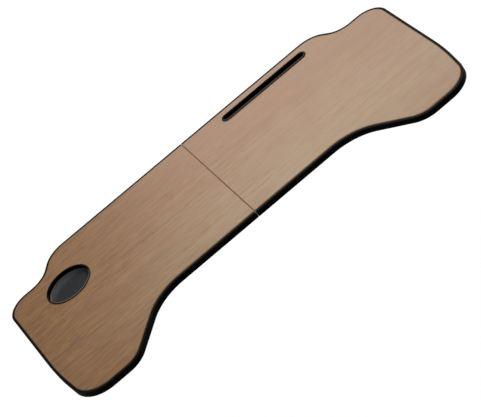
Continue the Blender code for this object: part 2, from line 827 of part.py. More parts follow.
def guide(name, x, parent):
    """Adds a bent strap that guides the bolt, a bridge with a flange at each end, and its screws."""
    inner = BOLT_WIDTH / 2 + FIT
    foot_end = inner + STRAP + STRAP_FLANGE
    flange_top = UNDERSIDE - FIT
    outline = [
        (-foot_end, flange_top),
        (-inner, flange_top),
        (-inner, BRIDGE_TOP),
        (inner, BRIDGE_TOP),
        (inner, flange_top),
        (foot_end, flange_top),
        (foot_end, flange_top - STRAP),
        (inner + STRAP, flange_top - STRAP),
        (inner + STRAP, BRIDGE_TOP - STRAP),
        (-inner - STRAP, BRIDGE_TOP - STRAP),
        (-inner - STRAP, flange_top - STRAP),
        (-foot_end, flange_top - STRAP),
    ]
    curve = flat_curve(name, [outline], STRAP_WIDTH)
    along_x = Matrix.Rotation(math.pi / 2, 4, "Z") @ Matrix.Rotation(math.pi / 2, 4, "X")
    piece = bpy.data.objects.new(name, mesh_from(curve, name, turn=along_x))
    finish(piece, zinc_steel, parent, (x, SEAM_MIDDLE, 0))
    hole = cylinder(PILOT_RADIUS, flange_top - STRAP - OVERCUT, flange_top + OVERCUT, SCREW_SIDES)
    places = [(*place, 0) for place in guide_screws(x)]
    cut(piece, cutter(copies(name + "_holes", hole, places), name + "_holes"))
    screw = pan_screw(PAN_RADIUS, flange_top - STRAP - FIT)
    repeat(name + "_screw", screw, zinc_steel, parent, guide_screws(x))


def keeper(parent):
    """Adds the keeper, a flat strap under the bolt's path, with a spacer and a screw at each end."""
    places = keeper_screws()
    reach = places[0][1] - places[1][1]
    strap = stadium((0, 0), reach + STRAP_WIDTH, STRAP_WIDTH, SPACER_SIDES // 2)
    outline = [(-KEEPER_X - across, SEAM_MIDDLE + along) for along, across in strap]
    holes = [circle(place, PILOT_RADIUS, SCREW_SIDES) for place in places]
    strap_bottom = BRIDGE_TOP - STRAP
    plate("keeper", [outline] + holes, strap_bottom, BRIDGE_TOP, zinc_steel, parent)
    profile = [
        (PILOT_RADIUS, BOLT_TOP),
        (SPACER_RADIUS, BOLT_TOP),
        (SPACER_RADIUS, BOLT_BOTTOM),
        (PILOT_RADIUS, BOLT_BOTTOM),
    ]
    spacer = shade_round(turned("keeper_spacer", profile, SPACER_SIDES))
    repeat("keeper_spacer", spacer, zinc_steel, parent, places)
    screw = pan_screw(PAN_RADIUS, strap_bottom - FIT)
    repeat("keeper_screw", screw, zinc_steel, parent, places)


def bolt(parent):
    """Adds the flat bolt with its tapered nose, drawn back behind the seam, and its riveted knob."""
    tip = BOLT_SETBACK
    tail = guide_places()[1] + STRAP_WIDTH / 2 + BOLT_TRAVEL + BOLT_TAIL
    half = BOLT_WIDTH / 2
    outline = [
        (tail, SEAM_MIDDLE - half),
        (tail, SEAM_MIDDLE + half),
        (tip + BOLT_NOSE, SEAM_MIDDLE + half),
        (tip, SEAM_MIDDLE + half - BOLT_NOSE),
        (tip, SEAM_MIDDLE - half + BOLT_NOSE),
        (tip + BOLT_NOSE, SEAM_MIDDLE - half),
    ]
    knob_x = knob_place()
    hole = circle((knob_x, SEAM_MIDDLE), KNOB_RIVET_RADIUS + FIT, KNOB_SIDES)
    plate("lock_bolt", [outline, hole], BOLT_BOTTOM, BOLT_TOP, zinc_steel, parent)
    neck_top = BOLT_BOTTOM - FIT
    head_top = neck_top - KNOB_NECK
    low = head_top - KNOB_HEAD
    profile = [
        (0, BOLT_TOP),
        (KNOB_RIVET_RADIUS, BOLT_TOP),
        (KNOB_RIVET_RADIUS, neck_top),
        (KNOB_NECK_RADIUS, neck_top),
        (KNOB_NECK_RADIUS, head_top),
        (KNOB_RADIUS, head_top - KNOB_CHAMFER),
        (KNOB_RADIUS, low + KNOB_CHAMFER),
        (KNOB_RADIUS - KNOB_CHAMFER, low),
        (0, low),
    ]
    mesh = shade_round(turned("lock_knob", profile, KNOB_SIDES))
    knob = bpy.data.objects.new("lock_knob", mesh)
    finish(knob, zinc_steel, parent, (knob_x, SEAM_MIDDLE, 0))


def slide_lock(right_half, left_half):
    """Adds the slide lock with its bolt drawn back. The near guide and the far guide stop the knob."""
    slider = empty("lock_slider", (knob_place(), SEAM_MIDDLE, BOLT_BOTTOM), right_half)
    bolt(slider)
    near, far = guide_places()
    guide("near_guide", near, right_half)
    guide("far_guide", far, right_half)
    keeper(left_half)


def build_tray():
    """Builds the open tray: the right half stays, the left half turns down about the hinge pins."""
    right_half = empty("right_half", (0, 0, 0))
    left_half = empty("left_half", (0, 0, AXIS_HEIGHT), right_half)
    half_board(RIGHT, slot_loop(SLOT_WALL + FIT), right_half)
    half_board(LEFT, cup_opening(), left_half)
    slot_liner(right_half)
    cup_well(left_half)
    feet(RIGHT, right_half)
    feet(LEFT, left_half)
    hinges(right_half, left_half)
    slide_lock(right_half, left_half)


clear_scene()
parts = new_collection("steering_wheel_tray")
cutters = new_collection("cutters")
build_tray()
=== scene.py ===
"""Looks of the folding steering wheel tray: fine meshes, finishes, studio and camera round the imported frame.

Sizes are in metres in the frame's axes: +X to the right along the tray, +Y to the dashboard and +Z up.
"""
import json
import logging
import math
from collections.abc import Callable
from dataclasses import dataclass, fields
from enum import Enum
from functools import partial

import bmesh
import bpy
from bpy.types import Mesh, Node, NodeSocket, NodeTree, Object
from mathutils import Matrix, Vector


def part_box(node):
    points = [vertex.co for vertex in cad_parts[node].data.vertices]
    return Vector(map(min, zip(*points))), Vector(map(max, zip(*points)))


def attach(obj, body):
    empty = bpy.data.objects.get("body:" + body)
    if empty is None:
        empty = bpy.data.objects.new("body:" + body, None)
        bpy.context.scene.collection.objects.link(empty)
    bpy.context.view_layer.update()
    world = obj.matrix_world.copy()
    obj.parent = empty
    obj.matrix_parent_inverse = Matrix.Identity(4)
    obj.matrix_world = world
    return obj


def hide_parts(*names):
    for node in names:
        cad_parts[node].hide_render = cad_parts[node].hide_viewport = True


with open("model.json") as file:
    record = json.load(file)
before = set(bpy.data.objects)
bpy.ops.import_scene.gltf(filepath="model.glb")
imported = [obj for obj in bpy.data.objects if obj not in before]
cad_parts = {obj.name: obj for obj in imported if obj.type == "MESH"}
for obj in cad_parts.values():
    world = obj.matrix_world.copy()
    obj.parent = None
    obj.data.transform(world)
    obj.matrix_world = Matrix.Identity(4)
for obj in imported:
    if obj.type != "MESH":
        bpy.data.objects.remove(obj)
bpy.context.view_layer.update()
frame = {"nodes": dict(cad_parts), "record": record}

LOG = logging.getLogger("steering_wheel_tray")

MM = 0.001
SHARP_ANGLE = math.radians(35)
ARC_STEP = math.radians(2)
FILLET_STEP = math.radians(12)
EASE = 0.12 * MM
OVERCUT = 1 * MM
HOLE_SIDES = 32
# Distance within which points count as one
WELD = 0.001 * MM

# Attribute of the laminates that carries a painted shade: 1 along the band and 0 inside the margin
PAINTED_SHADE_MARGIN = "margin"
# Attribute of the wells: the share of a painted highlight on the lip towards the driver, and 1 where dust lies
HIGHLIGHT_AND_DUST = "pale"

# Share of a distance that takes in the points at its very end
BEYOND = 1.1
# Radius of the flat in the middle of a turned end, as a share of the shank's
CAP_SHARE = 0.25

# Inputs of the Mix node when it mixes colours
MIX_SHARE = 0
MIX_FIRST = 6
MIX_SECOND = 7

Corner = tuple[float, float, float]
Loop = list[Vector]
Wave = Callable[[float, float, float], float]
Source = Node | NodeSocket
Noises = dict[str, Node]
# Node of the colour, the roughness or its node, and node of the relief's height
Look = tuple[Node, Node | float, Node]


class Side(Enum):
    """Half of the tray, by the sign of its X."""

    LEFT = -1
    RIGHT = 1

    @property
    def word(self) -> str:
        """The half's name in the names of its nodes."""
        return self.name.lower()

    @property
    def body(self) -> str:
        """The CAD body that the half's pieces ride on."""
        return f"{self.word}_half"


class Cut(Enum):
    """What a cutting mesh does to a piece."""

    AWAY = "DIFFERENCE"
    KEEP_WITHIN = "INTERSECT"


class Lines(Enum):
    """Way that the fine lines of a worked steel surface run."""

    ALONG_X = "x"
    ALONG_Y = "y"
    TURNED = "turned"


def linear(hex_colour: str) -> tuple[float, float, float, float]:
    """Turns an sRGB hex colour to linear light.

    Args:
        hex_colour: Colour such as #93725A.

    Returns:
        Linear red, green and blue, and an alpha of 1.
    """
    levels = [int(hex_colour[start:start + 2], 16) / 255 for start in (1, 3, 5)]
    red, green, blue = (v / 12.92 if v <= 0.04045 else ((v + 0.055) / 1.055) ** 2.4 for v in levels)
    return red, green, blue, 1.0


def add_node(tree: NodeTree, kind: str, inputs: dict, **settings: object) -> Node:
    """Adds a shader node with its settings and links.

    Args:
        tree: Node tree that takes the node.
        kind: Type of the node, without ShaderNode in front.
        inputs: A value, a hex colour, a socket to link, or a node to link, by the input's name or number.
        settings: Values of the node's properties.

    Returns:
        The new node, which is linked by the first of its outputs in use.
    """
    node = tree.nodes.new("ShaderNode" + kind)
    for name, value in settings.items():
        setattr(node, name, value)
    for name, value in inputs.items():
        if isinstance(value, Node):
            value = next(output for output in value.outputs if output.enabled)
        if isinstance(value, NodeSocket):
            tree.links.new(value, node.inputs[name])
        else:
            node.inputs[name].default_value = linear(value) if isinstance(value, str) else value
    return node


def blend(share: Source, first: Source | str, second: Source | str) -> dict:
    """Inputs of a Mix of two colours."""
    return {MIX_SHARE: share, MIX_FIRST: first, MIX_SECOND: second}


@dataclass(frozen=True)
class Ramp:
    """Turns a level between low and high to a value between first and last."""

    low: float = 0.0
    high: float = 1.0
    first: float = 0.0
    last: float = 1.0

    def of(self, level: Source) -> dict:
        """Inputs of the MapRange that does so."""
        levels = {"Value": level, "From Min": self.low, "From Max": self.high}
        return levels | {"To Min": self.first, "To Max": self.last}


@dataclass(frozen=True)
class Spots:
    """A noise, by the sizes of its spots: Y's is X's, and Z's is Y's, where none is given."""

    x: float
    y: float | None = None
    z: float | None = None
    detail: float = 2.0

    def scale(self) -> tuple[float, float, float]:
        """Scale that draws the spots in their sizes."""
        y = self.y or self.x
        return 1 / self.x, 1 / y, 1 / (self.z or y)


@dataclass(frozen=True)
class Finish:
    """A finish that pieces share: its even values, its relief, and a noise for each field that is Spots."""

    name: str
    slot: str
    specular: float = 0.5
    metallic: float = 0.0
    relief_depth: float = 0.05 * MM
    relief_strength: float = 0.5

    def material(self) -> bpy.types.Material:
        """Builds the finish's material at its first use.

        Returns:
            The material, which every piece with this finish shares.
        """
        made = bpy.data.materials.get(self.name)
        if made:
            return made
        made = bpy.data.materials.new(self.name)
        made.use_nodes = True
        tree = made.node_tree
        tree.nodes.clear()
        place = add_node(tree, "TexCoord", {}).outputs["Object"]
        noises = {}
        for field in fields(self):
            spots = getattr(self, field.name)
            if isinstance(spots, Spots):
                scaled = add_node(tree, "Mapping", {"Vector": place, "Scale": spots.scale()})
                drawn = {"Vector": scaled, "Scale": 1.0, "Detail": spots.detail}
                noises[field.name] = add_node(tree, "TexNoise", drawn)
        colour, roughness, height = self.pattern(tree, place, noises)
        relief = {"Height": height, "Distance": self.relief_depth, "Strength": self.relief_strength}
        varied = {"Base Color": colour, "Roughness": roughness, "Normal": add_node(tree, "Bump", relief)}
        even = {"Metallic": self.metallic, "Specular IOR Level": self.specular}
        shader = add_node(tree, "BsdfPrincipled", even | varied)
        add_node(tree, "OutputMaterial", {"Surface": shader})
        return made

    def pattern(self, tree: NodeTree, place: NodeSocket, noises: Noises) -> Look:
        """Builds what varies over the surface: every finish has its own."""
        raise NotImplementedError


@dataclass(frozen=True)
class WoodGrainMelamine(Finish):
    """Melamine laminate over a printed wood-grain paper, pressed on a matt plate.

    It gives the eye a quiet yellowish brown with fine streaks along the tray, a broad soft sheen but no clear
    gloss, and a painted shade down to the band's black along a margin, widest where the edge faces the driver.
    """

    name: str = "matt_wood_grain_melamine"
    slot: str = "wood_laminate"
    specular: float = 0.1
    relief_depth: float = 0.03 * MM
    early_wood: str = "#A38560"
    late_wood: str = "#846A4C"
    pore: str = "#5F4028"
    red_tint: str = "#ECD0B1"
    # Painted shade along the laminate's margin: its colour, its greatest share, and how much it dulls the
    # sheen
    shaded: str = "#14100D"
    shaded_share: float = 0.95
    shaded_dulling: float = 0.6
    growth: Spots = Spots(220 * MM, 9 * MM)
    grain: Spots = Spots(28 * MM, 2.2 * MM)
    mottle: Spots = Spots(14 * MM, 2.6 * MM)
    figure: Spots = Spots(150 * MM, 70 * MM)
    hue_zone: Spots = Spots(45 * MM, 25 * MM)
    fibre: Spots = Spots(24 * MM, 0.6 * MM)
    # A printed pore is about 0.15 mm wide, and is drawn three times as wide so that it shows
    pores: Spots = Spots(9 * MM, 0.45 * MM)
    # Pores are cut off near the top of their noise, so that few and separate ones are left
    pore_cut: Ramp = Ramp(0.66, 0.78, 0.0, 0.55)
    # The print is bolder towards the left end
    boldness: Ramp = Ramp(-270 * MM, 90 * MM, 1.8, 0.52)
    figuring: Ramp = Ramp(0.35, 0.65, 0.7, 1.3)
    heart: tuple[float, float] = (85 * MM, -90 * MM)
    heart_reach: tuple[float, float] = (460 * MM, 160 * MM)
    reddening: Ramp = Ramp(0.42, 1.6)
    sheen: Ramp = Ramp(0.0, 1.0, 0.375, 0.345)

    def pattern(self, tree: NodeTree, place: NodeSocket, noises: Noises) -> Look:
        """Prints growth bands, grain, mottle and pores over each other, stronger in some zones, and paints
        shade on the margin.

        Args:
            tree: Node tree of the material.
            place: Coordinates in metres, with the grain along X.
            noises: Noises of the print and of the plate.

        Returns:
            The colour, the roughness and the height of the relief.
        """
        streaks = add_node(tree, "Math", {0: noises["growth"], 1: noises["grain"]}, operation="ADD")
        print_depth = add_node(tree, "Math", {0: noises["mottle"], 1: streaks}, operation="ADD")
        # Each of the three noises swings about a half
        swing = add_node(tree, "Math", {0: print_depth, 1: 3 / 2}, operation="SUBTRACT")
        along = add_node(tree, "SeparateXYZ", {"Vector": place})
        boldness = add_node(tree, "MapRange", self.boldness.of(along))
        figured = add_node(tree, "MapRange", self.figuring.of(noises["figure"]))
        strength = add_node(tree, "Math", {0: figured, 1: boldness}, operation="MULTIPLY")
        swung = {0: swing, 1: strength, 2: 1 / 2}
        tone = add_node(tree, "Math", swung, operation="MULTIPLY_ADD", use_clamp=True)
        wood = add_node(tree, "Mix", blend(tone, self.late_wood, self.early_wood), data_type="RGBA")

        scale = (1 / self.heart_reach[0], 1 / self.heart_reach[1], 0.0)
        start = (-self.heart[0] * scale[0], -self.heart[1] * scale[1], 0.0)
        from_heart = add_node(tree, "Mapping", {"Vector": place, "Location": start, "Scale": scale})
        away = add_node(tree, "VectorMath", {0: from_heart}, operation="LENGTH")
        zone = add_node(tree, "Math", {0: away, 1: noises["hue_zone"]}, operation="ADD")
        redness = blend(add_node(tree, "MapRange", self.reddening.of(zone)), wood, self.red_tint)
        tinted = add_node(tree, "Mix", redness, data_type="RGBA", blend_type="MULTIPLY")

        pored = add_node(tree, "MapRange", self.pore_cut.of(noises["pores"]))
        printed = add_node(tree, "Mix", blend(pored, tinted, self.pore), data_type="RGBA")
        # Painted shade: the margin attribute darkens the print towards the band and dulls its sheen there
        edge = add_node(tree, "Attribute", {}, attribute_name=PAINTED_SHADE_MARGIN).outputs["Fac"]
        share = add_node(tree, "Math", {0: edge, 1: self.shaded_share}, operation="MULTIPLY")
        shaded = add_node(tree, "Mix", blend(share, printed, self.shaded), data_type="RGBA")
        dulling = {0: edge, 1: self.shaded_dulling, 2: add_node(tree, "MapRange", self.sheen.of(tone))}
        dulled = add_node(tree, "Math", dulling, operation="MULTIPLY_ADD", use_clamp=True)
        sunk = add_node(tree, "Math", {0: noises["fibre"], 1: pored}, operation="SUBTRACT")
        return shaded, dulled, sunk


@dataclass(frozen=True, kw_only=True)
class TwoTone(Finish):
    """A finish that goes from one tone to another in patches, over a finer relief."""

    tones: tuple[str, str]
    patches: Spots
    relief: Spots
    # Share of the relief in what mixes the tones
    relief_share: float = 0.0
    mixing: Ramp = Ramp(0.35, 0.7)
    roughness: Ramp
    # The patches set the roughness, and otherwise the relief does
    dulled_in_patches: bool = False

    def pattern(self, tree: NodeTree, place: NodeSocket, noises: Noises) -> Look:
        """Mixes the tones and dulls the skin.

        Args:
            tree: Node tree of the material.
            place: Coordinates in metres.
            noises: Noises of the patches and the relief.

        Returns:
            The colour, the roughness and the height of the relief.
        """
        weighed = {0: noises["relief"], 1: self.relief_share, 2: noises["patches"]}
        level = add_node(tree, "Math", weighed, operation="MULTIPLY_ADD")
        share = add_node(tree, "MapRange", self.mixing.of(level))
        mixed = add_node(tree, "Mix", blend(share, *self.tones), data_type="RGBA")
        dulling = noises["patches" if self.dulled_in_patches else "relief"]
        return mixed, add_node(tree, "MapRange", self.roughness.of(dulling)), noises["relief"]


@dataclass(frozen=True)
class BrownEdgeTape(TwoTone):
    """Brown paper tape, ironed on the seam face and trimmed.

    It gives the eye a dull line on both sides of the seam, a little darker than the wood and worn paler in
    places, with next to no sheen.
    """

    name: str = "matt_brown_edge_tape"
    slot: str = "wood_laminate"
    specular: float = 0.06
    relief_depth: float = 0.02 * MM
    tones: tuple[str, str] = ("#6E4F3A", "#7E6047")
    patches: Spots = Spots(6 * MM, detail=3.0)
    # Paper nap is about 0.1 mm, and is drawn coarser so that a close view shows it
    relief: Spots = Spots(0.4 * MM, detail=1.0)
    mixing: Ramp = Ramp(0.4, 0.7)
    roughness: Ramp = Ramp(first=0.7, last=0.7)


@dataclass(frozen=True)
class RawFibreboard(TwoTone):
    """Medium-density fibreboard, sawn and drilled.

    It gives the eye a dull tan felt of clumps and short fibres, with no gloss.
    """

    name: str = "raw_fibreboard"
    slot: str = "fibreboard"
    specular: float = 0.2
    relief_depth: float = 0.1 * MM
    relief_strength: float = 0.6
    tones: tuple[str, str] = ("#8A6A48", "#B08D65")
    patches: Spots = Spots(4 * MM)
    # A board fibre is about 0.1 mm thick, and is drawn coarser so that a close view shows it
    relief: Spots = Spots(2 * MM, 0.5 * MM, 0.25 * MM, 3.0)
    relief_share: float = 1.0
    mixing: Ramp = Ramp(0.75, 1.25)
    roughness: Ramp = Ramp(first=0.9, last=0.9)


@dataclass(frozen=True)
class MouldedPolypropylene(TwoTone):
    """Black polypropylene, moulded in a spark-eroded tool.

    It gives the eye a deep black with a fine dull grain and faint flow marks. It is greyer with a painted
    highlight on a well's lip towards the driver, and where dust lies in the foot of a wall.
    """

    name: str = "black_moulded_polypropylene"
    slot: str = "black_moulding"
    specular: float = 0.01
    relief_depth: float = 0.02 * MM
    relief_strength: float = 0.4
    tones: tuple[str, str] = ("#060607", "#0D0D0E")
    # Grey of the painted highlight on a well's lip, and of the dust in the foot of a wall
    pale: str = "#76706E"
    patches: Spots = Spots(22 * MM, 22 * MM, 22 * MM / 3, 4.0)
    # The tool's grit is about 0.05 mm, and is drawn coarser so that a close view shows it
    relief: Spots = Spots(0.35 * MM, detail=1.0)
    dulled_in_patches: bool = True
    roughness: Ramp = Ramp(0.35, 0.7, 0.45, 0.57)

    def pattern(self, tree: NodeTree, place: NodeSocket, noises: Noises) -> Look:
        """Pales the black where the mesh marks a painted highlight on a lip and dust at a wall's foot.

        Args:
            tree: Node tree of the material.
            place: Coordinates in metres.
            noises: Noises of the flow marks and the grit.

        Returns:
            The colour, the roughness and the height of the relief.
        """
        black, satin, grit = super().pattern(tree, place, noises)
        # The mesh's attribute gives the painted highlight on the lip towards the driver and the dust in a
        # wall's foot
        highlight_and_dust_level = add_node(tree, "Attribute", {}, attribute_name=HIGHLIGHT_AND_DUST).outputs["Fac"]
        return add_node(tree, "Mix", blend(highlight_and_dust_level, black, self.pale), data_type="RGBA"), satin, grit


@dataclass(frozen=True)
class SawnPolypropylene(TwoTone):
    """Polypropylene where a saw cut it to length and a knife broke its edges.

    It gives the eye a pale grey scuff of tooth marks across the black, brighter than the moulded skin, and a
    painted highlight on the seam.
    """

    name: str = "sawn_polypropylene"
    slot: str = "black_moulding"
    specular: float = 0.3
    relief_depth: float = 0.04 * MM
    # Pale greys of the saw scuff, which also paint a highlight on the band's ends at the seam
    tones: tuple[str, str] = ("#6C6A69", "#A9A7A5")
    patches: Spots = Spots(0.6 * MM, 0.6 * MM, 0.3 * MM)
    relief: Spots = patches
    mixing: Ramp = Ramp(0.35, 0.65)
    roughness: Ramp = Ramp(first=0.6, last=0.6)


@dataclass(frozen=True)
class ClosedCellFoam(Finish):
    """Closed-cell EVA foam, split from a block and die cut.

    It gives the eye a flat dark grey with the pinholes of cut cells, paler at the back and along the wall with
    painted light and dust, and darker at the front with painted shade and rubbing, where cups slide in.
    """

    name: str = "closed_cell_foam"
    slot: str = "foam_mat"
    specular: float = 0.01
    relief_depth: float = 0.08 * MM
    roughness: float = 0.85
    # Tones of the painted light and dust at the back and along the wall, and of the painted shade and rubbing
    # at the front
    dusty: str = "#555A5B"
    rubbed: str = "#353738"
    cell: str = "#1F2020"
    # Middle of the painted shade, and the distances from it over which the painted light and dust take over
    rub_centre: tuple[float, float, float] = (10 * MM, -26 * MM, 0.0)
    dust: Ramp = Ramp(43 * MM, 59 * MM)
    patches: Spots = Spots(14 * MM)
    patch_share: float = 0.3
    mixing: Ramp = Ramp(0.15, 1.15)
    # Cut cells are about 0.2 mm across, and are drawn coarser so that they show
    cell_size: float = 0.7 * MM
    pitting: Ramp = Ramp(0.1, 0.45, 0.6, 0.0)

    def pattern(self, tree: NodeTree, place: NodeSocket, noises: Noises) -> Look:
        """Fades painted light and dust into painted shade at the front, and opens cut cells as small darker
        pits.

        Args:
            tree: Node tree of the material.
            place: Coordinates in metres from the middle of the mat.
            noises: Noise of the patches in the painted light and dust.

        Returns:
            The colour, the roughness and the height of the relief.
        """
        cells = add_node(tree, "TexVoronoi", {"Vector": place, "Scale": 1 / self.cell_size})
        # The painted light and dust grow with the distance from the painted shade at the front
        distance = add_node(tree, "VectorMath", {0: place, 1: self.rub_centre}, operation="DISTANCE")
        dust = add_node(tree, "MapRange", self.dust.of(distance))
        weighed = {0: noises["patches"], 1: self.patch_share, 2: dust}
        level = add_node(tree, "Math", weighed, operation="MULTIPLY_ADD")
        share = add_node(tree, "MapRange", self.mixing.of(level))
        skin = add_node(tree, "Mix", blend(share, self.rubbed, self.dusty), data_type="RGBA")
        pits = add_node(tree, "MapRange", self.pitting.of(cells))
        pitted = add_node(tree, "Mix", blend(pits, skin, self.cell), data_type="RGBA")
        return pitted, self.roughness, cells


@dataclass(frozen=True)
class MouldedRubber(TwoTone):
    """Black nitrile rubber, compression moulded.

    It gives the eye a soft dull black, greyer than the plastic, with a bloom in patches.
    """

    name: str = "moulded_rubber"
    slot: str = "rubber"
    specular: float = 0.3
    tones: tuple[str, str] = ("#1A1A1A", "#2B2A29")
    patches: Spots = Spots(5 * MM, detail=3.0)
    # The mould's blasting is about 0.1 mm, and is drawn coarser so that a close view shows it
    relief: Spots = Spots(0.5 * MM)
    roughness: Ramp = Ramp(0.3, 0.7, 0.62, 0.8)


@dataclass(frozen=True)
class ZincPlatedSteel(Finish):
    """Mild steel, cold rolled or turned, then bright zinc plated and blue passivated.

    It gives the eye a cool silver whose highlight is drawn out across fine lines, with faint warm and blue
    clouds.
    """

    name: str = "zinc_plated_steel"
    slot: str = "zinc_steel"
    metallic: float = 1.0
    relief_depth: float = 0.01 * MM
    relief_strength: float = 0.35
    lines: Lines = Lines.ALONG_Y
    silver: str = "#C9CCCF"
    clouded: str = "#B5B6B1"
    # Rolling and turning lines are about 0.03 mm apart, and are drawn coarser so that a close view shows them
    line_width: float = 0.18 * MM
    line_length: float = 9 * MM
    clouds: Spots = Spots(7 * MM, detail=3.0)
    clouding: Ramp = Ramp(0.35, 0.7)
    roughness: Ramp = Ramp(0.7, 1.3, 0.24, 0.42)

    def pattern(self, tree: NodeTree, place: NodeSocket, noises: Noises) -> Look:
        """Draws the rolling or turning lines, and the passivation's clouds.

        Args:
            tree: Node tree of the material.
            place: Coordinates in metres, from the turning axis on a turned piece.
            noises: Noise of the clouds.

        Returns:
            The colour, the roughness and the height of the relief.
        """
        fine, long = self.line_width, self.line_length
        if self.lines is Lines.TURNED:
            flat = add_node(tree, "VectorMath", {0: place, 1: (1, 1, 0)}, operation="MULTIPLY")
            radius = add_node(tree, "VectorMath", {0: flat}, operation="LENGTH")
            rings = {"W": radius, "Scale": 1 / fine, "Detail": 1.0}
            worked = add_node(tree, "TexNoise", rings, noise_dimensions="1D")
        else:
            spots = Spots(long, fine) if self.lines is Lines.ALONG_X else Spots(fine, long, fine)
            drawn = add_node(tree, "Mapping", {"Vector": place, "Scale": spots.scale()})
            worked = add_node(tree, "TexNoise", {"Vector": drawn, "Scale": 1.0, "Detail": 1.0})
        share = add_node(tree, "MapRange", self.clouding.of(noises["clouds"]))
        mixed = add_node(tree, "Mix", blend(share, self.silver, self.clouded), data_type="RGBA")
        both = add_node(tree, "Math", {0: noises["clouds"], 1: worked}, operation="ADD")
        return mixed, add_node(tree, "MapRange", self.roughness.of(both)), worked


def add_object(name: str, data: bpy.types.ID) -> Object:
    """Adds an object to the scene.

    Args:
        name: Name of the object.
        data: Its mesh, curve, lamp or camera.

    Returns:
        The object.
    """
    added = bpy.data.objects.new(name, data)
    bpy.context.scene.collection.objects.link(added)
    return added


def finished_mesh(shape: bmesh.types.BMesh) -> Mesh:
    """Turns a closed shape into a mesh that is smooth apart from its sharp edges.

    Args:
        shape: Closed shape, which is freed.

    Returns:
        The mesh, with its faces pointing out.
    """
    bmesh.ops.recalc_face_normals(shape, faces=shape.faces)
    mesh = bpy.data.meshes.new("shape")
    shape.to_mesh(mesh)
    shape.free()
    mesh.shade_smooth()
    mesh.set_sharp_from_angle(angle=SHARP_ANGLE)
    return mesh


def loft(rings: list[Loop], closed: bool = False) -> Mesh:
    """Skins closed rings of points, one after the other.

    Args:
        rings: Rings with equal numbers of points.
        closed: Joins the last ring to the first. Otherwise both are capped.

    Returns:
        The closed mesh.
    """
    shape = bmesh.new()
    rows = [[shape.verts.new(point) for point in ring] for ring in rings]
    pairs = list(zip(rows, rows[1:]))
    if closed:
        pairs.append((rows[-1], rows[0]))
    else:
        shape.faces.new(rows[0])
        shape.faces.new(rows[-1])
    for row, following in pairs:
        for index in range(len(row)):
            shape.faces.new((row[index - 1], row[index], following[index], following[index - 1]))
    return finished_mesh(shape)


def turned(profile: Loop, sides: int, closed: bool = False, wave: Wave | None = None) -> Mesh:
    """Turns a profile about Z.

    Args:
        profile: Points of (radius, height).
        sides: Points on each ring.
        closed: The profile is a loop, as on a tube. Otherwise its ends are capped.
        wave: Gives a point's radius from the profile's radius, the height and the angle.

    Returns:
        The closed mesh.
    """
    rings = []
    for radius, height in profile:
        ring = []
        for index in range(sides):
            angle = 2 * math.pi * index / sides
            arm = wave(radius, height, angle) if wave else radius
            ring.append(Vector((arm * math.cos(angle), arm * math.sin(angle), height)))
        rings.append(ring)
    return loft(rings, closed)


def slab(loops: list[Loop], low: float, high: float, turn: Matrix | None = None) -> Mesh:
    """Fills an outline with holes and gives it a thickness along Z.

    Args:
        loops: Closed loops of (x, y) points, the outline first.
        low: Height of the bottom.
        high: Height of the top.
        turn: Rotation of the whole afterwards.

    Returns:
        The closed mesh.
    """
    curve = bpy.data.curves.new("outline", "CURVE")
    curve.dimensions = "2D"
    curve.fill_mode = "BOTH"
    curve.extrude = (high - low) / 2
    for loop in loops:
        spline = curve.splines.new("POLY")
        spline.points.add(len(loop) - 1)
        for point, (x, y) in zip(spline.points, loop):
            point.co = (x, y, 0, 1)
        spline.use_cyclic_u = True
    helper = add_object("outline", curve)
    graph = bpy.context.evaluated_depsgraph_get()
    filled = bpy.data.meshes.new_from_object(helper.evaluated_get(graph))
    bpy.data.objects.remove(helper, do_unlink=True)
    shape = bmesh.new()
    shape.from_mesh(filled)
    bmesh.ops.remove_doubles(shape, verts=shape.verts, dist=WELD)
    bmesh.ops.translate(shape, vec=(0, 0, (low + high) / 2), verts=shape.verts)
    if turn:
        bmesh.ops.transform(shape, matrix=turn, verts=shape.verts)
    return finished_mesh(shape)


def margined_sheet(edge: Loop, margin: Loop, holes: list[Loop], low: float, high: float) -> Mesh:
    """Builds a sheet whose margin attribute, a painted shade, falls from 1 along its edge to 0 along an inner
    line.

    Args:
        edge: Points of the edge, from one end of a straight side without a margin to its other end.
        margin: Point of the inner line for each of them.
        holes: Closed loops of (x, y) points.
        low: Height of the bottom.
        high: Height of the top.

    Returns:
        The closed mesh.
    """
    shape = bmesh.new()
    shade = shape.verts.layers.float.new(PAINTED_SHADE_MARGIN)
    loops = (edge, margin, *holes)
    outer, inner, *inside = [[shape.verts.new((x, y, low)) for x, y in loop] for loop in loops]
    for index in range(len(edge) - 1):
        shape.faces.new((outer[index], outer[index + 1], inner[index + 1], inner[index]))
    borders = []
    for loop in (inner, *inside):
        for pair in zip(loop, loop[1:] + loop[:1]):
            borders.append(shape.edges.get(pair) or shape.edges.new(pair))
    bmesh.ops.triangle_fill(shape, edges=borders, use_beauty=True)
    # The painted shade is full along the edge
    for vert in outer:
        vert[shade] = 1.0
    grown = bmesh.ops.extrude_face_region(shape, geom=shape.faces[:])["geom"]
    lifted = [item for item in grown if isinstance(item, bmesh.types.BMVert)]
    bmesh.ops.translate(shape, vec=(0, 0, high - low), verts=lifted)
    return finished_mesh(shape)


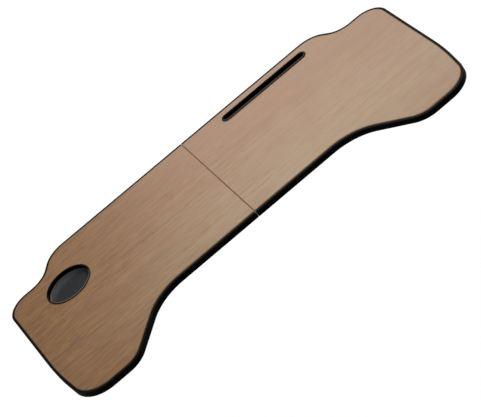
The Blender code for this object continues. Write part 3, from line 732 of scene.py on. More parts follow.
def carved(mesh: Mesh, cuts: list[tuple[Mesh, Cut]], arris: float) -> Mesh:
    """Cuts a mesh with others and breaks its sharp edges.

    Args:
        mesh: Closed mesh.
        cuts: Cutting meshes, each with what it does.
        arris: Width of the broken edges, or 0 to leave them sharp.

    Returns:
        The cut mesh.
    """
    helpers = [add_object("blank", mesh)]
    for tool, cut in cuts:
        helpers.append(add_object("tool", tool))
        boolean = helpers[0].modifiers.new("cut", "BOOLEAN")
        boolean.operation = cut.value
        boolean.solver = "EXACT"
        boolean.object = helpers[-1]
    if arris:
        bevel = helpers[0].modifiers.new("arris", "BEVEL")
        bevel.width = arris
        bevel.segments = 2
        bevel.limit_method = "ANGLE"
        bevel.angle_limit = SHARP_ANGLE
        bevel.harden_normals = True
    graph = bpy.context.evaluated_depsgraph_get()
    made = bpy.data.meshes.new_from_object(helpers[0].evaluated_get(graph))
    for helper in helpers:
        bpy.data.objects.remove(helper, do_unlink=True)
    return made


def mark_pale(
    mesh: Mesh,
    centre: Vector,
    half_spine: float,
    lip: Vector,
    rub: float,
    foot: Vector | None = None,
) -> None:
    """Marks a painted highlight on a well's lip towards the driver, and the foot of its wall, where dust lies.

    Args:
        mesh: Mesh of a well that is round, or straight with round ends.
        centre: Middle of the well in the mesh's own coordinates.
        half_spine: Half the length of the straight part.
        lip: Outer edge of the lip with the painted highlight, as its distance from the spine, and the lip's
            lowest height.
        rub: Share of the painted highlight where the lip faces the driver most.
        foot: Inner edge of the foot where dust lies, and its highest height, in the same way.
    """
    shares = []
    for vert in mesh.vertices:
        away = vert.co.xy - centre.xy
        radius = math.hypot(max(abs(away.x) - half_spine, 0.0), away.y)
        share = 0.0
        # Painted highlight on the lip, strongest where it faces the driver
        if vert.co.z >= lip.y and radius <= lip.x:
            share = rub * max(0.0, -away.y / radius)
        elif foot and vert.co.z <= foot.y and foot.x <= radius < lip.x:
            share = 1.0
        shares.append(share)
    mesh.attributes.new(HIGHLIGHT_AND_DUST, "FLOAT", "POINT").data.foreach_set("value", shares)


def offset_corners(corners: list[Corner], edge: float, seam: float) -> list[Corner]:
    """Moves the edges of a clockwise outline inwards: the last, the seam, to seam and the others by edge.

    Args:
        corners: Corners as (x, y, fillet radius).
        edge: Distance that the edges move in.
        seam: Distance that the last edge moves in.

    Returns:
        The moved corners. A fillet shrinks at an outward corner and grows at an inward one.
    """
    lines = []
    for index, (x, y, _) in enumerate(corners):
        end_x, end_y, _ = corners[(index + 1) % len(corners)]
        along = Vector((end_x - x, end_y - y)).normalized()
        shift = seam if index == len(corners) - 1 else edge
        lines.append((Vector((x, y)) + Vector((along.y, -along.x)) * shift, along))
    moved = []
    for index, (_, _, radius) in enumerate(corners):
        before_point, before = lines[index - 1]
        after_point, after = lines[index]
        turn = before.cross(after)
        place = before_point + before * ((after_point - before_point).cross(after) / turn)
        moved.append((place.x, place.y, radius - math.copysign(edge, -turn) if radius else 0))
    return moved


def rounded(corners: list[Corner], ease: float = 0.0, step: float = FILLET_STEP) -> Loop:
    """Points of an outline with an arc at each corner.

    Args:
        corners: Corners as (x, y, fillet radius), a radius of 0 for a sharp one.
        ease: Distance from an arc's ends to a point more on each straight, which keeps the straights flat.
        step: Turn of one facet of an arc.

    Returns:
        The points in the corners' order.
    """
    points = []
    for index, (x, y, radius) in enumerate(corners):
        corner = Vector((x, y))
        if not radius:
            points.append(corner)
            continue
        before = (corner - Vector(corners[index - 1][:2])).normalized()
        after = (Vector(corners[(index + 1) % len(corners)][:2]) - corner).normalized()
        turn = before.angle_signed(after)
        reach = radius * math.tan(abs(turn) / 2)
        start = corner - before * reach
        center = start + Vector((before.y, -before.x)) * math.copysign(radius, turn)
        steps = max(2, round(abs(turn) / step))
        if ease:
            points.append(start - before * ease)
        for count in range(steps + 1):
            points.append(center + Matrix.Rotation(-turn * count / steps, 2) @ (start - center))
        if ease:
            points.append(corner + after * (reach + ease))
    return points


def circle(x: float, y: float, radius: float, sides: int = HOLE_SIDES) -> Loop:
    """Points of a circle."""
    turns = [2 * math.pi * index / sides for index in range(sides)]
    return [Vector((x + radius * math.cos(turn), y + radius * math.sin(turn))) for turn in turns]


def stadium(center: Vector, length: float, width: float, sides: int) -> Loop:
    """Points of a slot with round ends along X.

    Args:
        center: Middle of the slot.
        length: Length over the round ends.
        width: Width across them.
        sides: Facets of one end.

    Returns:
        The points, anticlockwise.
    """
    points = []
    for end in (1, -1):
        end_x = center.x + end * (length - width) / 2
        for index in range(sides + 1):
            angle = math.pi * index / sides - math.pi / 2
            arm = Vector((math.cos(angle), math.sin(angle))) * (end * width / 2)
            points.append(Vector((end_x, center.y)) + arm)
    return points


def rectangle(half_x: float, half_y: float, height: float = 0.0) -> Loop:
    """Corners of a rectangle about the Z axis at a height."""
    signs = ((1, 1), (-1, 1), (-1, -1), (1, -1))
    return [Vector((x * half_x, y * half_y, height)) for x, y in signs]


def middle(node: str) -> Vector:
    """Middle of a CAD node's box."""
    low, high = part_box(node)
    return (low + high) / 2


def over(node: str) -> Matrix:
    """Move from the Z axis to the upright line through a CAD node's middle."""
    return Matrix.Translation((*middle(node).xy, 0))


def hole_over(node: str, radius: float) -> Loop:
    """Points of a round hole about a CAD node's middle."""
    return circle(*middle(node).xy, radius)


def add_piece(node: str, body: str, mesh: Mesh, *finishes: Finish, place: Matrix | None = None) -> None:
    """Adds a finished piece that stands for a CAD node.

    Args:
        node: Name of the node.
        body: Body that the piece rides on.
        mesh: Mesh of the piece, which pieces may share.
        finishes: Finish of each of the mesh's material numbers.
        place: Where the mesh goes, if it isn't in the frame's own place.
    """
    piece = add_object("finished_" + node, mesh)
    if place:
        piece.matrix_world = place
    if not mesh.materials:
        mesh.name = node
        for finish in finishes:
            mesh.materials.append(finish.material())
    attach(piece, body)
    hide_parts(node)
    LOG.info("%s: %d faces on %s, %s", piece.name, len(mesh.polygons), body, finishes[0].name)


@dataclass(frozen=True)
class TrayOutline:
    """Plan of the open tray: lengths between the corners as they are before their fillets."""

    back_length: float = 695 * MM
    front_length: float = 656 * MM
    depth: float = 351 * MM
    middle_depth: float = 268 * MM
    front_edge: float = 84 * MM
    belly_run: float = 75 * MM
    belly_inner_radius: float = 81 * MM
    belly_outer_radius: float = 42 * MM
    back_step: float = 44.5 * MM
    back_step_run: float = 31 * MM
    back_step_edge: float = 67.5 * MM
    back_step_inner_radius: float = 44 * MM
    back_step_outer_radius: float = 37.5 * MM
    back_corner_radius: float = 34 * MM
    front_corner_radius: float = 46 * MM
    end_bulge_share: float = 0.7
    end_bulge: float = 8 * MM
    end_bulge_radius: float = 500 * MM

    def half(self, side: Side, edge: float, seam: float) -> Loop:
        """Outline of one half.

        Args:
            side: The half.
            edge: Distance that the outline is moved in, all round.
            seam: Distance that the half keeps from the tray's middle.

        Returns:
            Points from the seam's back end, round the outer edge, to its front end.
        """
        back = self.depth / 2
        front = back - self.depth
        seam_front = back - self.middle_depth
        back_corner = self.back_length / 2
        front_corner = self.front_length / 2
        step = back_corner - self.back_step_edge
        belly = front_corner - self.front_edge
        end_back = back - self.back_step
        share = self.end_bulge_share
        bulge_x = back_corner + (front_corner - back_corner) * share + self.end_bulge
        bulge_y = end_back + (front - end_back) * share
        corners = [
            (0, back, 0),
            (step - self.back_step_run, back, self.back_step_inner_radius),
            (step, end_back, self.back_step_outer_radius),
            (back_corner, end_back, self.back_corner_radius),
            (bulge_x, bulge_y, self.end_bulge_radius),
            (front_corner, front, self.front_corner_radius),
            (belly, front, self.belly_outer_radius),
            (belly - self.belly_run, seam_front, self.belly_inner_radius),
            (0, seam_front, 0),
        ]
        points = rounded(offset_corners(corners, edge, seam), step=ARC_STEP)
        return [Vector((side.value * point.x, point.y)) for point in points]


@dataclass
class HalfBoard:
    """One half of the tray top: core, two laminates, the moulded edge band and the tape on the seam face."""

    side: Side
    opening: Loop
    pilots: list[str]
    wood: WoodGrainMelamine
    plastic: MouldedPolypropylene
    fibreboard: RawFibreboard = RawFibreboard()
    sawn: SawnPolypropylene = SawnPolypropylene()
    paper: BrownEdgeTape = BrownEdgeTape()
    outline: TrayOutline = TrayOutline()
    band: float = 3.5 * MM
    band_arris: float = 0.6 * MM
    band_top_arris: float = 0.25 * MM
    band_inner_arris: float = 0.2 * MM
    seam_half_gap: float = 0.3 * MM
    tape: float = 0.6 * MM
    # The tapes' swollen faces all but meet, so that no floor shows through the seam
    tape_swell: float = 0.29 * MM
    tape_arris: float = 0.2 * MM
    play: float = 0.05 * MM
    saw_chamfer: float = 0.35 * MM
    # Widths of the margin with the painted shade, all round and where the edge faces the front
    margin: float = 1.4 * MM
    front_margin: float = 4.4 * MM
    pilot_radius: float = 1.5 * MM

    def build(self) -> None:
        """Builds and dresses every piece of the half."""
        self.edge_band()
        self.laminate("top", [self.opening])
        holes = [hole_over(node, self.pilot_radius) for node in self.pilots]
        if self.side is Side.RIGHT:
            holes.append(self.opening)
        self.laminate("bottom", holes)
        self.seam_tape()
        core = frame["nodes"][f"{self.side.word}_core_board"]
        core.data.materials.clear()
        core.data.materials.append(self.fibreboard.material())
        LOG.info("%s: CAD node, %s", core.name, self.fibreboard.name)

    def cut_end(self, section: Loop) -> Loop:
        """Draws a sawn end of the band.

        Args:
            section: Outline of the band's section.

        Returns:
            The section's outline at the seam, smaller by the chamfer.
        """
        center = sum(section, Vector()) / len(section)
        height = 2 * (center.z - min(point.z for point in section))
        across = 1 - 2 * self.saw_chamfer / self.band
        upright = 1 - 2 * self.saw_chamfer / height
        seam = self.side.value * self.seam_half_gap
        end = []
        for point in section:
            away = point - center
            end.append(Vector((seam, center.y + away.y * across, center.z + away.z * upright)))
        return end

    def edge_band(self) -> None:
        """Builds the moulded band, its section swept round the outline, with deburred sawn ends."""
        node = f"{self.side.word}_edge_band"
        low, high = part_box(node)
        corners = [
            (0, high.z, self.band_top_arris),
            (self.band, high.z, self.band_inner_arris),
            (self.band, low.z, self.band_inner_arris),
            (0, low.z, self.band_arris),
        ]
        profile = rounded(corners, EASE)
        seam = self.seam_half_gap + self.saw_chamfer
        paths = [self.outline.half(self.side, inset, seam) for inset, _ in profile]
        sections = []
        for places in zip(*paths):
            sections.append([Vector((*at, height)) for at, (_, height) in zip(places, profile)])
        mesh = loft([self.cut_end(sections[0]), *sections, self.cut_end(sections[-1])])
        for face in mesh.polygons:
            face.material_index = int(abs(face.center.x) < seam)
        add_piece(node, self.side.body, mesh, self.plastic, self.sawn)

    def laminate(self, layer: str, holes: list[Loop]) -> None:
        """Builds one laminate, close inside the band.

        Args:
            layer: Which of the two, "top" or "bottom".
            holes: Closed loops of (x, y) points.
        """
        node = f"{self.side.word}_{layer}_laminate"
        low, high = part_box(node)
        seam = self.seam_half_gap + self.tape + self.play
        edge = self.outline.half(self.side, self.band + self.play, seam)
        mesh = margined_sheet(edge, self.margin_line(edge), holes, low.z, high.z)
        add_piece(node, self.side.body, mesh, self.wood)

    def margin_line(self, edge: Loop) -> Loop:
        """Inner line of the margin with the painted shade, which is widest where the edge faces the front.

        Args:
            edge: Points of the laminate's edge from the seam's back end to its front end.

        Returns:
            The points moved inwards.
        """
        line = []
        for before, point, after in zip(edge[:1] + edge, edge, edge[1:] + edge[-1:]):
            along = (after - before).normalized()
            inward = Vector((along.y, -along.x)) * self.side.value
            facing = max(0.0, inward.y) ** 2
            line.append(point + inward * (self.margin + (self.front_margin - self.margin) * facing))
        return line

    def seam_tape(self) -> None:
        """Builds the tape on the seam face, its outer arrises broken by the trimming cutter."""
        node = f"{self.side.word}_seam_tape"
        low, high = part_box(node)
        near = self.side.value * (self.seam_half_gap - self.tape_swell)
        far = self.side.value * (self.seam_half_gap + self.tape)
        outer = [(near, low.z, self.tape_arris), (near, high.z, self.tape_arris)]
        profile = rounded([*outer, (far, high.z, 0), (far, low.z, 0)], EASE)
        back = self.outline.depth / 2 - self.band - self.play
        front = self.outline.depth / 2 - self.outline.middle_depth + self.band + self.play
        rings = [[Vector((x, y, z)) for x, z in profile] for y in (front, back)]
        add_piece(node, self.side.body, loft(rings), self.paper)


@dataclass
class Well:
    """Moulded well that drops into a half, with a flange on the top and a painted highlight on the lip towards
    the driver.
    """

    plastic: MouldedPolypropylene
    wall: float = 1.2 * MM
    flange: float = 0.8 * MM
    rim_fillet: float = 0.35 * MM
    flange_fillet: float = 0.12 * MM
    # Width of the lip's inner part, across its top and down its inner face, that takes the painted highlight
    rubbed: float = 1.1 * MM
    play: float = 0.3 * MM

    def shell(self, inner: float, rim: float, low: float, high: float, fillet: float) -> list[Corner]:
        """Corners of the section from the wall's inner face, over the lip and the flange, to its outer foot.

        Args:
            inner: Place of the wall's inner face.
            rim: Place of the flange's outer edge.
            low: Height of the underside.
            high: Height of the top.
            fillet: Fillet of the outer foot.

        Returns:
            The corners.
        """
        outer = inner + self.wall
        under = high - self.flange
        return [
            (inner, high - self.rubbed, 0),
            (inner, high, self.rim_fillet),
            (inner + self.rubbed, high, 0),
            (rim, high, self.rim_fillet),
            (rim, under, self.flange_fillet),
            (outer, under, self.flange_fillet),
            (outer, low, fillet),
        ]


@dataclass
class CupWell(Well):
    """Moulded dish that drops into the left half, with a foam mat in it."""

    foam: ClosedCellFoam = ClosedCellFoam()
    bore: float = 34 * MM
    floor_fillet: float = 1.5 * MM
    wall_start: float = 1.8 * MM
    # Share of the painted highlight where the lip faces the driver most
    rub: float = 1.0
    mat_arris: float = 0.35 * MM
    cap: float = 4 * MM
    sides: int = 128

    def opening(self) -> Loop:
        """Hole in the left half that the dish drops into."""
        return circle(*middle("cup_well").xy, self.bore + self.wall + self.play, self.sides)

    def build(self) -> None:
        """Builds and dresses the dish and its mat."""
        low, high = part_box("cup_well")
        floor = low.z + self.wall
        corners = [
            (self.cap, floor, 0),
            (self.bore, floor, self.floor_fillet),
            (self.bore, floor + self.wall_start, 0),
            *self.shell(self.bore, (high.x - low.x) / 2, low.z, high.z, self.floor_fillet),
            (self.cap, low.z, 0),
        ]
        dish = turned(rounded(corners, EASE), self.sides)
        lip = Vector((self.bore + BEYOND * self.rubbed, high.z - BEYOND * self.rim_fillet))
        foot = Vector((self.bore - BEYOND * self.floor_fillet, floor + BEYOND * self.floor_fillet))
        mark_pale(dish, Vector((0, 0)), 0, lip, self.rub, foot)
        add_piece("cup_well", "left_half", dish, self.plastic, place=over("cup_well"))
        low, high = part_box("cup_mat")
        edge = (high.x - low.x) / 2
        corners = [
            (self.cap, high.z, 0),
            (edge, high.z, self.mat_arris),
            (edge, low.z, self.mat_arris / 2),
            (self.cap, low.z, 0),
        ]
        mat = turned(rounded(corners, EASE), self.sides)
        add_piece("cup_mat", "left_half", mat, self.foam, place=over("cup_well"))


@dataclass
class SlotLiner(Well):
    """Moulded trough of the tablet slot in the right half."""

    length: float = 151 * MM
    width: float = 12 * MM
    floor_fillet: float = 0.8 * MM
    # Share of the painted highlight where the lip faces the driver most
    rub: float = 0.45
    cap_inset: float = 4 * MM
    end_sides: int = 32

    def loop(self, grow: float) -> Loop:
        """Outline of the slot, grown on all sides."""
        place = middle("slot_liner")
        return stadium(place, self.length + 2 * grow, self.width + 2 * grow, self.end_sides)

    def opening(self) -> Loop:
        """Hole in the right half that the trough drops into."""
        return self.loop(self.wall + self.play)

    def build(self) -> None:
        """Builds and dresses the trough."""
        low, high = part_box("slot_liner")
        floor = low.z + self.wall
        rim = (high.y - low.y - self.width) / 2
        corners = [
            (-self.cap_inset, floor, 0),
            (0, floor, self.floor_fillet),
            *self.shell(0, rim, low.z, high.z, self.rim_fillet),
            (-self.cap_inset, low.z, 0),
        ]
        rings = []
        for grow, height in rounded(corners, EASE):
            rings.append([Vector((x, y, height)) for x, y in self.loop(grow)])
        trough = loft(rings)
        half_width = self.width / 2
        lip = Vector((half_width + BEYOND * self.rubbed, high.z - BEYOND * self.rim_fillet))
        mark_pale(trough, middle("slot_liner"), self.length / 2 - half_width, lip, self.rub)
        add_piece("slot_liner", "right_half", trough, self.plastic)


class Head(Enum):
    """Shape of a screw's head."""

    PAN = "pan"
    COUNTERSUNK = "countersunk"


@dataclass
class Screws:
    """Screws of one kind, all driven upwards from the same height, with a cross recess and a real thread."""

    nodes: list[str]
    body: str
    steel: ZincPlatedSteel
    head: Head
    head_height: float
    core: float = 1.05 * MM
    crest: float = 1.35 * MM
    pitch: float = 1 * MM
    # Half the width of the thread's ridge, as a share of the pitch
    half_ridge: float = 0.25
    rows_per_turn: int = 6
    point: float = 1.6 * MM
    point_radius: float = 0.1 * MM
    pan_dome: float = 0.9 * MM
    pan_edge: float = 0.15 * MM
    sunk_edge: float = 0.1 * MM
    sides: int = 24
    recess_reach: float = 0.6
    recess_width: float = 0.13
    recess_depth: float = 0.8 * MM
    recess_taper: float = 0.55
    first_turn: float = math.radians(20)
    next_turn: float = math.radians(37)

    def threaded(self, tip: float, radius: float, height: float, angle: float) -> float:
        """Winds the thread round the shank and runs it out at the tip.

        Args:
            tip: Height of the tip.
            radius: Radius of the plain screw.
            height: Height of the point.
            angle: Angle of the point about the axis.

        Returns:
            Radius of the threaded screw.
        """
        if radius > self.core + WELD:
            return radius
        turn = (height / self.pitch - angle / (2 * math.pi)) % 1
        ridge = max(0.0, 1 - abs(turn - 0.5) / self.half_ridge)
        taper = min(1.0, (tip - height) / self.point)
        return max(self.point_radius, (radius + ridge * (self.crest - self.core)) * taper)

    def mesh(self) -> Mesh:
        """Builds the mesh that the screws share.

        Returns:
            The mesh, about the Z axis and at its real height.
        """
        low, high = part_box(self.nodes[0])
        radius = (high.x - low.x) / 2
        seat = low.z + self.head_height
        rows = round((high.z - seat) / self.pitch * self.rows_per_turn)
        shank = [Vector((self.core, high.z - (high.z - seat) * row / rows)) for row in range(rows + 1)]
        if self.head is Head.PAN:
            corners = [(radius, seat, self.pan_edge), (radius, low.z, self.pan_dome)]
        else:
            corners = [(radius, low.z, self.sunk_edge)]
        head = rounded([(self.core, seat, 0), *corners, (self.core * CAP_SHARE, low.z, 0)], EASE / 2)
        plain = turned(shank + head[1:], self.sides, wave=partial(self.threaded, high.z))
        long = radius * self.recess_reach
        wide = radius * self.recess_width
        bars = []
        for half_x, half_y in ((long, wide), (wide, long)):
            mouth = rectangle(half_x, half_y, low.z - OVERCUT / 10)
            depth = low.z + self.recess_depth
            root = rectangle(half_x * self.recess_taper, half_y * self.recess_taper, depth)
            bars.append((loft([mouth, root]), Cut.AWAY))
        return carved(plain, bars, 0)

    def build(self) -> None:
        """Builds and dresses the screws, each turned a little further than the last."""
        mesh = self.mesh()
        for number, node in enumerate(self.nodes):
            twist = Matrix.Rotation(self.first_turn + self.next_turn * number, 4, "Z")
            add_piece(node, self.body, mesh, self.steel, place=over(node) @ twist)


@dataclass
class Feet:
    """The four rubber feet of one half, each with a screw in its recess."""

    side: Side
    rubber: MouldedRubber
    steel: ZincPlatedSteel
    radius: float = 9 * MM
    tip_radius: float = 7.3 * MM
    tip_fillet: float = 1 * MM
    recess_radius: float = 4 * MM
    recess_depth: float = 4.5 * MM
    hole_radius: float = 1.5 * MM
    arris: float = 0.4 * MM
    sides: int = 64
    count: int = 4
    screw_head: float = 1.4 * MM

    def names(self, word: str) -> list[str]:
        """Names of the half's numbered nodes of one kind."""
        return [f"{self.side.word}_{word}_{number}" for number in range(1, self.count + 1)]

    def build(self) -> None:
        """Builds and dresses the feet and their screws."""
        nodes = self.names("foot")
        low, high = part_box(nodes[0])
        seat = low.z + self.recess_depth
        corners = [
            (self.hole_radius, high.z, 0),
            (self.radius, high.z, self.arris),
            (self.tip_radius, low.z, self.tip_fillet),
            (self.recess_radius, low.z, self.arris),
            (self.recess_radius, seat, self.arris),
            (self.hole_radius, seat, 0),
        ]
        foot = turned(rounded(corners, EASE), self.sides, closed=True)
        for node in nodes:
            add_piece(node, self.side.body, foot, self.rubber, place=over(node))
        Screws(self.names("foot_screw"), self.side.body, self.steel, Head.PAN, self.screw_head).build()


@dataclass
class ButtHinge:
    """Rolled butt hinge under the seam: two leaves with interleaved knuckles, a headed pin and six screws."""

    label: str
    rolled: ZincPlatedSteel
    turned: ZincPlatedSteel
    leaf: float = 1.2 * MM
    bore: float = 1.8 * MM
    knuckles: int = 5
    knuckle_gap: float = 0.3 * MM
    corner: float = 3 * MM
    hole_radius: float = 1.5 * MM
    sink_radius: float = 2.6 * MM
    pin_radius: float = 1.5 * MM
    pin_crown: float = 0.6 * MM
    pin_head: float = 0.8 * MM
    screws_per_leaf: int = 3
    arris: float = 0.12 * MM
    curl_sides: int = 48

    def screw_nodes(self, side: Side) -> list[str]:
        """Names of a leaf's screws."""
        numbers = range(1, self.screws_per_leaf + 1)
        return [f"{self.label}_hinge_{side.word}_screw_{number}" for number in numbers]

    def build(self) -> None:
        """Builds and dresses the leaves, the pin and the screws."""
        for side in Side:
            node = f"{self.label}_hinge_{side.word}_leaf"
            add_piece(node, side.body, self.leaf_mesh(side, node), self.rolled)
            screws = self.screw_nodes(side)
            Screws(screws, side.body, self.turned, Head.COUNTERSUNK, self.leaf).build()
        self.pin()

    def curl(self, side: Side, radius: float, width: float, top: float) -> Loop:
        """Draws the section of a leaf about the pin: a curl that runs out into the flat, level with its top.

        Args:
            side: Half that the leaf is screwed to.
            radius: Outer radius of the curl.
            width: Distance of the leaf's far edge from the pin's axis.
            top: Height of the flat's top above the axis.

        Returns:
            Points of the section.
        """
        flat_bottom = top - self.leaf
        # Three quarters of a turn, and on to where the flat's bottom meets the curl
        sweep = 1.5 * math.pi + math.asin(flat_bottom / radius)
        points = []
        for index in range(self.curl_sides + 1):
            angle = math.pi / 2 + sweep * index / self.curl_sides
            points.append(Vector((side.value * radius * math.cos(angle), radius * math.sin(angle))))
        edge = side.value * width
        return points + [Vector((edge, flat_bottom)), Vector((edge, top))]

    def leaf_mesh(self, side: Side, node: str) -> Mesh:
        """Builds one leaf: rolled, notched for the other's knuckles, drilled and countersunk.

        Args:
            side: Half that the leaf is screwed to.
            node: Name of the CAD node.

        Returns:
            The closed mesh.
        """
        low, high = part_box(node)
        below, above = low.z - OVERCUT, high.z + OVERCUT
        width = max(abs(low.x), abs(high.x))
        radius = min(abs(low.x), abs(high.x))
        center = (low.y + high.y) / 2
        length = high.y - low.y
        axis = high.z - radius
        upright = Matrix.Translation((0, center, axis)) @ Matrix.Rotation(math.pi / 2, 4, "X")
        section = [self.curl(side, radius, width, high.z - axis), circle(0, 0, self.bore, self.curl_sides)]
        leaf = slab(section, -length / 2, length / 2, upright)

        plan = []
        for x, end in ((-radius - OVERCUT, -1), (-radius - OVERCUT, 1), (width, 1), (width, -1)):
            plan.append((side.value * x, center + end * length / 2, self.corner if x == width else 0))
        cuts = [(slab([rounded(plan)], below, above), Cut.KEEP_WITHIN)]
        pitch = length / self.knuckles
        notch = rectangle(radius + self.knuckle_gap, (pitch + self.knuckle_gap) / 2)
        for index in range(int(side is Side.RIGHT), self.knuckles, 2):
            place = Vector((0, low.y + (index + 0.5) * pitch))
            cuts.append((slab([[corner.xy + place for corner in notch]], below, above), Cut.AWAY))
        slope = (self.sink_radius - self.hole_radius) / self.leaf
        mouth = Vector((self.sink_radius + slope * OVERCUT, high.z - self.leaf - OVERCUT))
        bore = [Vector((self.hole_radius, height)) for height in (high.z, above)]
        for screw in self.screw_nodes(side):
            drill = turned([mouth, *bore], HOLE_SIDES)
            drill.transform(over(screw))
            cuts.append((drill, Cut.AWAY))
        return carved(leaf, cuts, self.arris)

    def pin(self) -> None:
        """Builds the pin, a turned shank with a domed head at each end."""
        node = f"{self.label}_hinge_pin"
        low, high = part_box(node)
        head = (high.z - low.z) / 2
        end = (high.y - low.y) / 2
        half = end - self.pin_head
        cap = self.pin_radius * CAP_SHARE
        upper = [(cap, end, 0), (head, end, self.pin_crown), (head, half, 0), (self.pin_radius, half, 0)]
        lower = [(radius, -height, fillet) for radius, height, fillet in reversed(upper)]
        mesh = turned(rounded(upper + lower), self.curl_sides)
        place = Matrix.Translation(middle(node)) @ Matrix.Rotation(-math.pi / 2, 4, "X")
        add_piece(node, "right_half", mesh, self.turned, place=place)


@dataclass
class SlideLock:
    """The slide lock: a bolt with a riveted fluted knob, two bent guides, and a keeper on two spacers."""

    bolt_steel: ZincPlatedSteel
    strap_steel: ZincPlatedSteel
    turned: ZincPlatedSteel
    strap: float = 1 * MM
    bolt_half_width: float = 7 * MM
    bolt_play: float = 0.3 * MM
    nose: float = 4 * MM
    bolt_corner: float = 0.8 * MM
    bend_inner: float = 0.3 * MM
    strap_corner: float = 2 * MM
    hole_radius: float = 1.5 * MM
    rivet_radius: float = 1.8 * MM
    neck_radius: float = 2.5 * MM
    neck: float = 1.2 * MM
    knob_chamfer: float = 0.8 * MM
    flutes: int = 24
    sides_per_flute: int = 6
    flute_depth: float = 0.22 * MM
    spacer_radius: float = 3.5 * MM
    screw_head: float = 1.4 * MM
    arris: float = 0.15 * MM
    sides: int = 48

    def build(self) -> None:
        """Builds and dresses every piece of the lock."""
        self.bolt()
        self.knob()
        for name in ("near_guide", "far_guide"):
            self.guide(name)
        self.keeper()

    def screws(self, name: str, body: str) -> list[Loop]:
        """Builds the two screws of a strap.

        Args:
            name: CAD node of the strap.
            body: Body that the screws are driven into.

        Returns:
            Points of the strap's hole for each screw.
        """
        nodes = [f"{name}_screw_{number}" for number in (1, 2)]
        Screws(nodes, body, self.turned, Head.PAN, self.screw_head).build()
        return [hole_over(node, self.hole_radius) for node in nodes]

    def bolt(self) -> None:
        """Builds the flat bolt with its tapered nose and the hole of its knob."""
        low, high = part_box("lock_bolt")
        places = [
            (high.x, low.y),
            (high.x, high.y),
            (low.x + self.nose, high.y),
            (low.x, high.y - self.nose),
            (low.x, low.y + self.nose),
            (low.x + self.nose, low.y),
        ]
        outline = rounded([(x, y, self.bolt_corner) for x, y in places])
        hole = hole_over("lock_knob", self.rivet_radius + self.arris)
        mesh = carved(slab([outline, hole], low.z, high.z), [], self.arris)
        add_piece("lock_bolt", "lock_slider", mesh, self.bolt_steel)

    def knob(self) -> None:
        """Builds the knob: a rivet through the bolt, a neck, and a head with flutes round it."""
        low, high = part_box("lock_knob")
        bolt_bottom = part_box("lock_bolt")[0].z
        head = (high.x - low.x) / 2
        neck_top = bolt_bottom - self.bolt_play
        head_top = neck_top - self.neck
        cap = self.rivet_radius * CAP_SHARE
        corners = [
            (cap, high.z, 0),
            (self.rivet_radius, high.z, 0),
            (self.rivet_radius, neck_top, 0),
            (self.neck_radius, neck_top, 0),
            (self.neck_radius, head_top, 0),
            (head, head_top, self.knob_chamfer),
            (head, low.z, self.knob_chamfer),
            (cap, low.z, 0),
        ]
        sides = self.sides_per_flute * self.flutes
        mesh = turned(rounded(corners, EASE), sides, wave=partial(self.fluted, head))
        add_piece("lock_knob", "lock_slider", mesh, self.turned, place=over("lock_knob"))

    def fluted(self, head: float, radius: float, height: float, angle: float) -> float:
        """Radius of the knob at a height and an angle, with the flutes sunk into the rim of its head."""
        share = max(0.0, (radius - head + self.knob_chamfer) / self.knob_chamfer)
        return radius - share * self.flute_depth * (1 - math.cos(self.flutes * angle)) / 2

    def guide(self, name: str) -> None:
        """Builds a guide: a strap bent over the bolt's path, with rounded flanges and two screws.

        Args:
            name: CAD node of the guide.
        """
        low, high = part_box(name)
        center = (low + high) / 2
        reach = (high.y - low.y) / 2
        inner = self.bolt_half_width + self.bolt_play
        outer = inner + self.strap
        wide = self.bend_inner + self.strap
        within = [
            (reach, high.z - self.strap, 0),
            (reach, high.z, 0),
            (inner, high.z, wide),
            (inner, low.z + self.strap, self.bend_inner),
        ]
        outside = [(outer, low.z, wide), (outer, high.z - self.strap, self.bend_inner)]
        mirrored = [(-y, z, radius) for y, z, radius in reversed(outside + within)]
        section = rounded(within + mirrored + outside)
        along_x = Matrix.Rotation(math.pi / 2, 4, "Z") @ Matrix.Rotation(math.pi / 2, 4, "X")
        half = (high.x - low.x) / 2
        strip = slab([section], -half, half, Matrix.Translation((center.x, center.y, 0)) @ along_x)
        ends = ((low.x, low.y), (low.x, high.y), (high.x, high.y), (high.x, low.y))
        plan = rounded([(x, y, self.strap_corner) for x, y in ends])
        blank = slab([plan, *self.screws(name, "right_half")], low.z - OVERCUT, high.z + OVERCUT)
        mesh = carved(strip, [(blank, Cut.KEEP_WITHIN)], self.arris)
        add_piece(name, "right_half", mesh, self.strap_steel)

    def keeper(self) -> None:
        """Builds the keeper: a flat strap with round ends, two spacers and two screws."""
        low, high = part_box("keeper")
        center = (low + high) / 2
        loop = stadium(Vector((0, 0)), high.y - low.y, high.x - low.x, HOLE_SIDES)
        outline = [Vector((center.x - point.y, center.y + point.x)) for point in loop]
        holes = self.screws("keeper", "left_half")
        mesh = carved(slab([outline, *holes], low.z, high.z), [], self.arris)
        add_piece("keeper", "left_half", mesh, self.strap_steel)
        low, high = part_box("keeper_spacer_1")
        places = [
            (self.hole_radius, high.z),
            (self.spacer_radius, high.z),
            (self.spacer_radius, low.z),
            (self.hole_radius, low.z),
        ]
        profile = rounded([(radius, height, self.arris) for radius, height in places], EASE / 2)
        spacer = turned(profile, self.sides, closed=True)
        for number in (1, 2):
            node = f"keeper_spacer_{number}"
            add_piece(node, "left_half", spacer, self.turned, place=over(node))


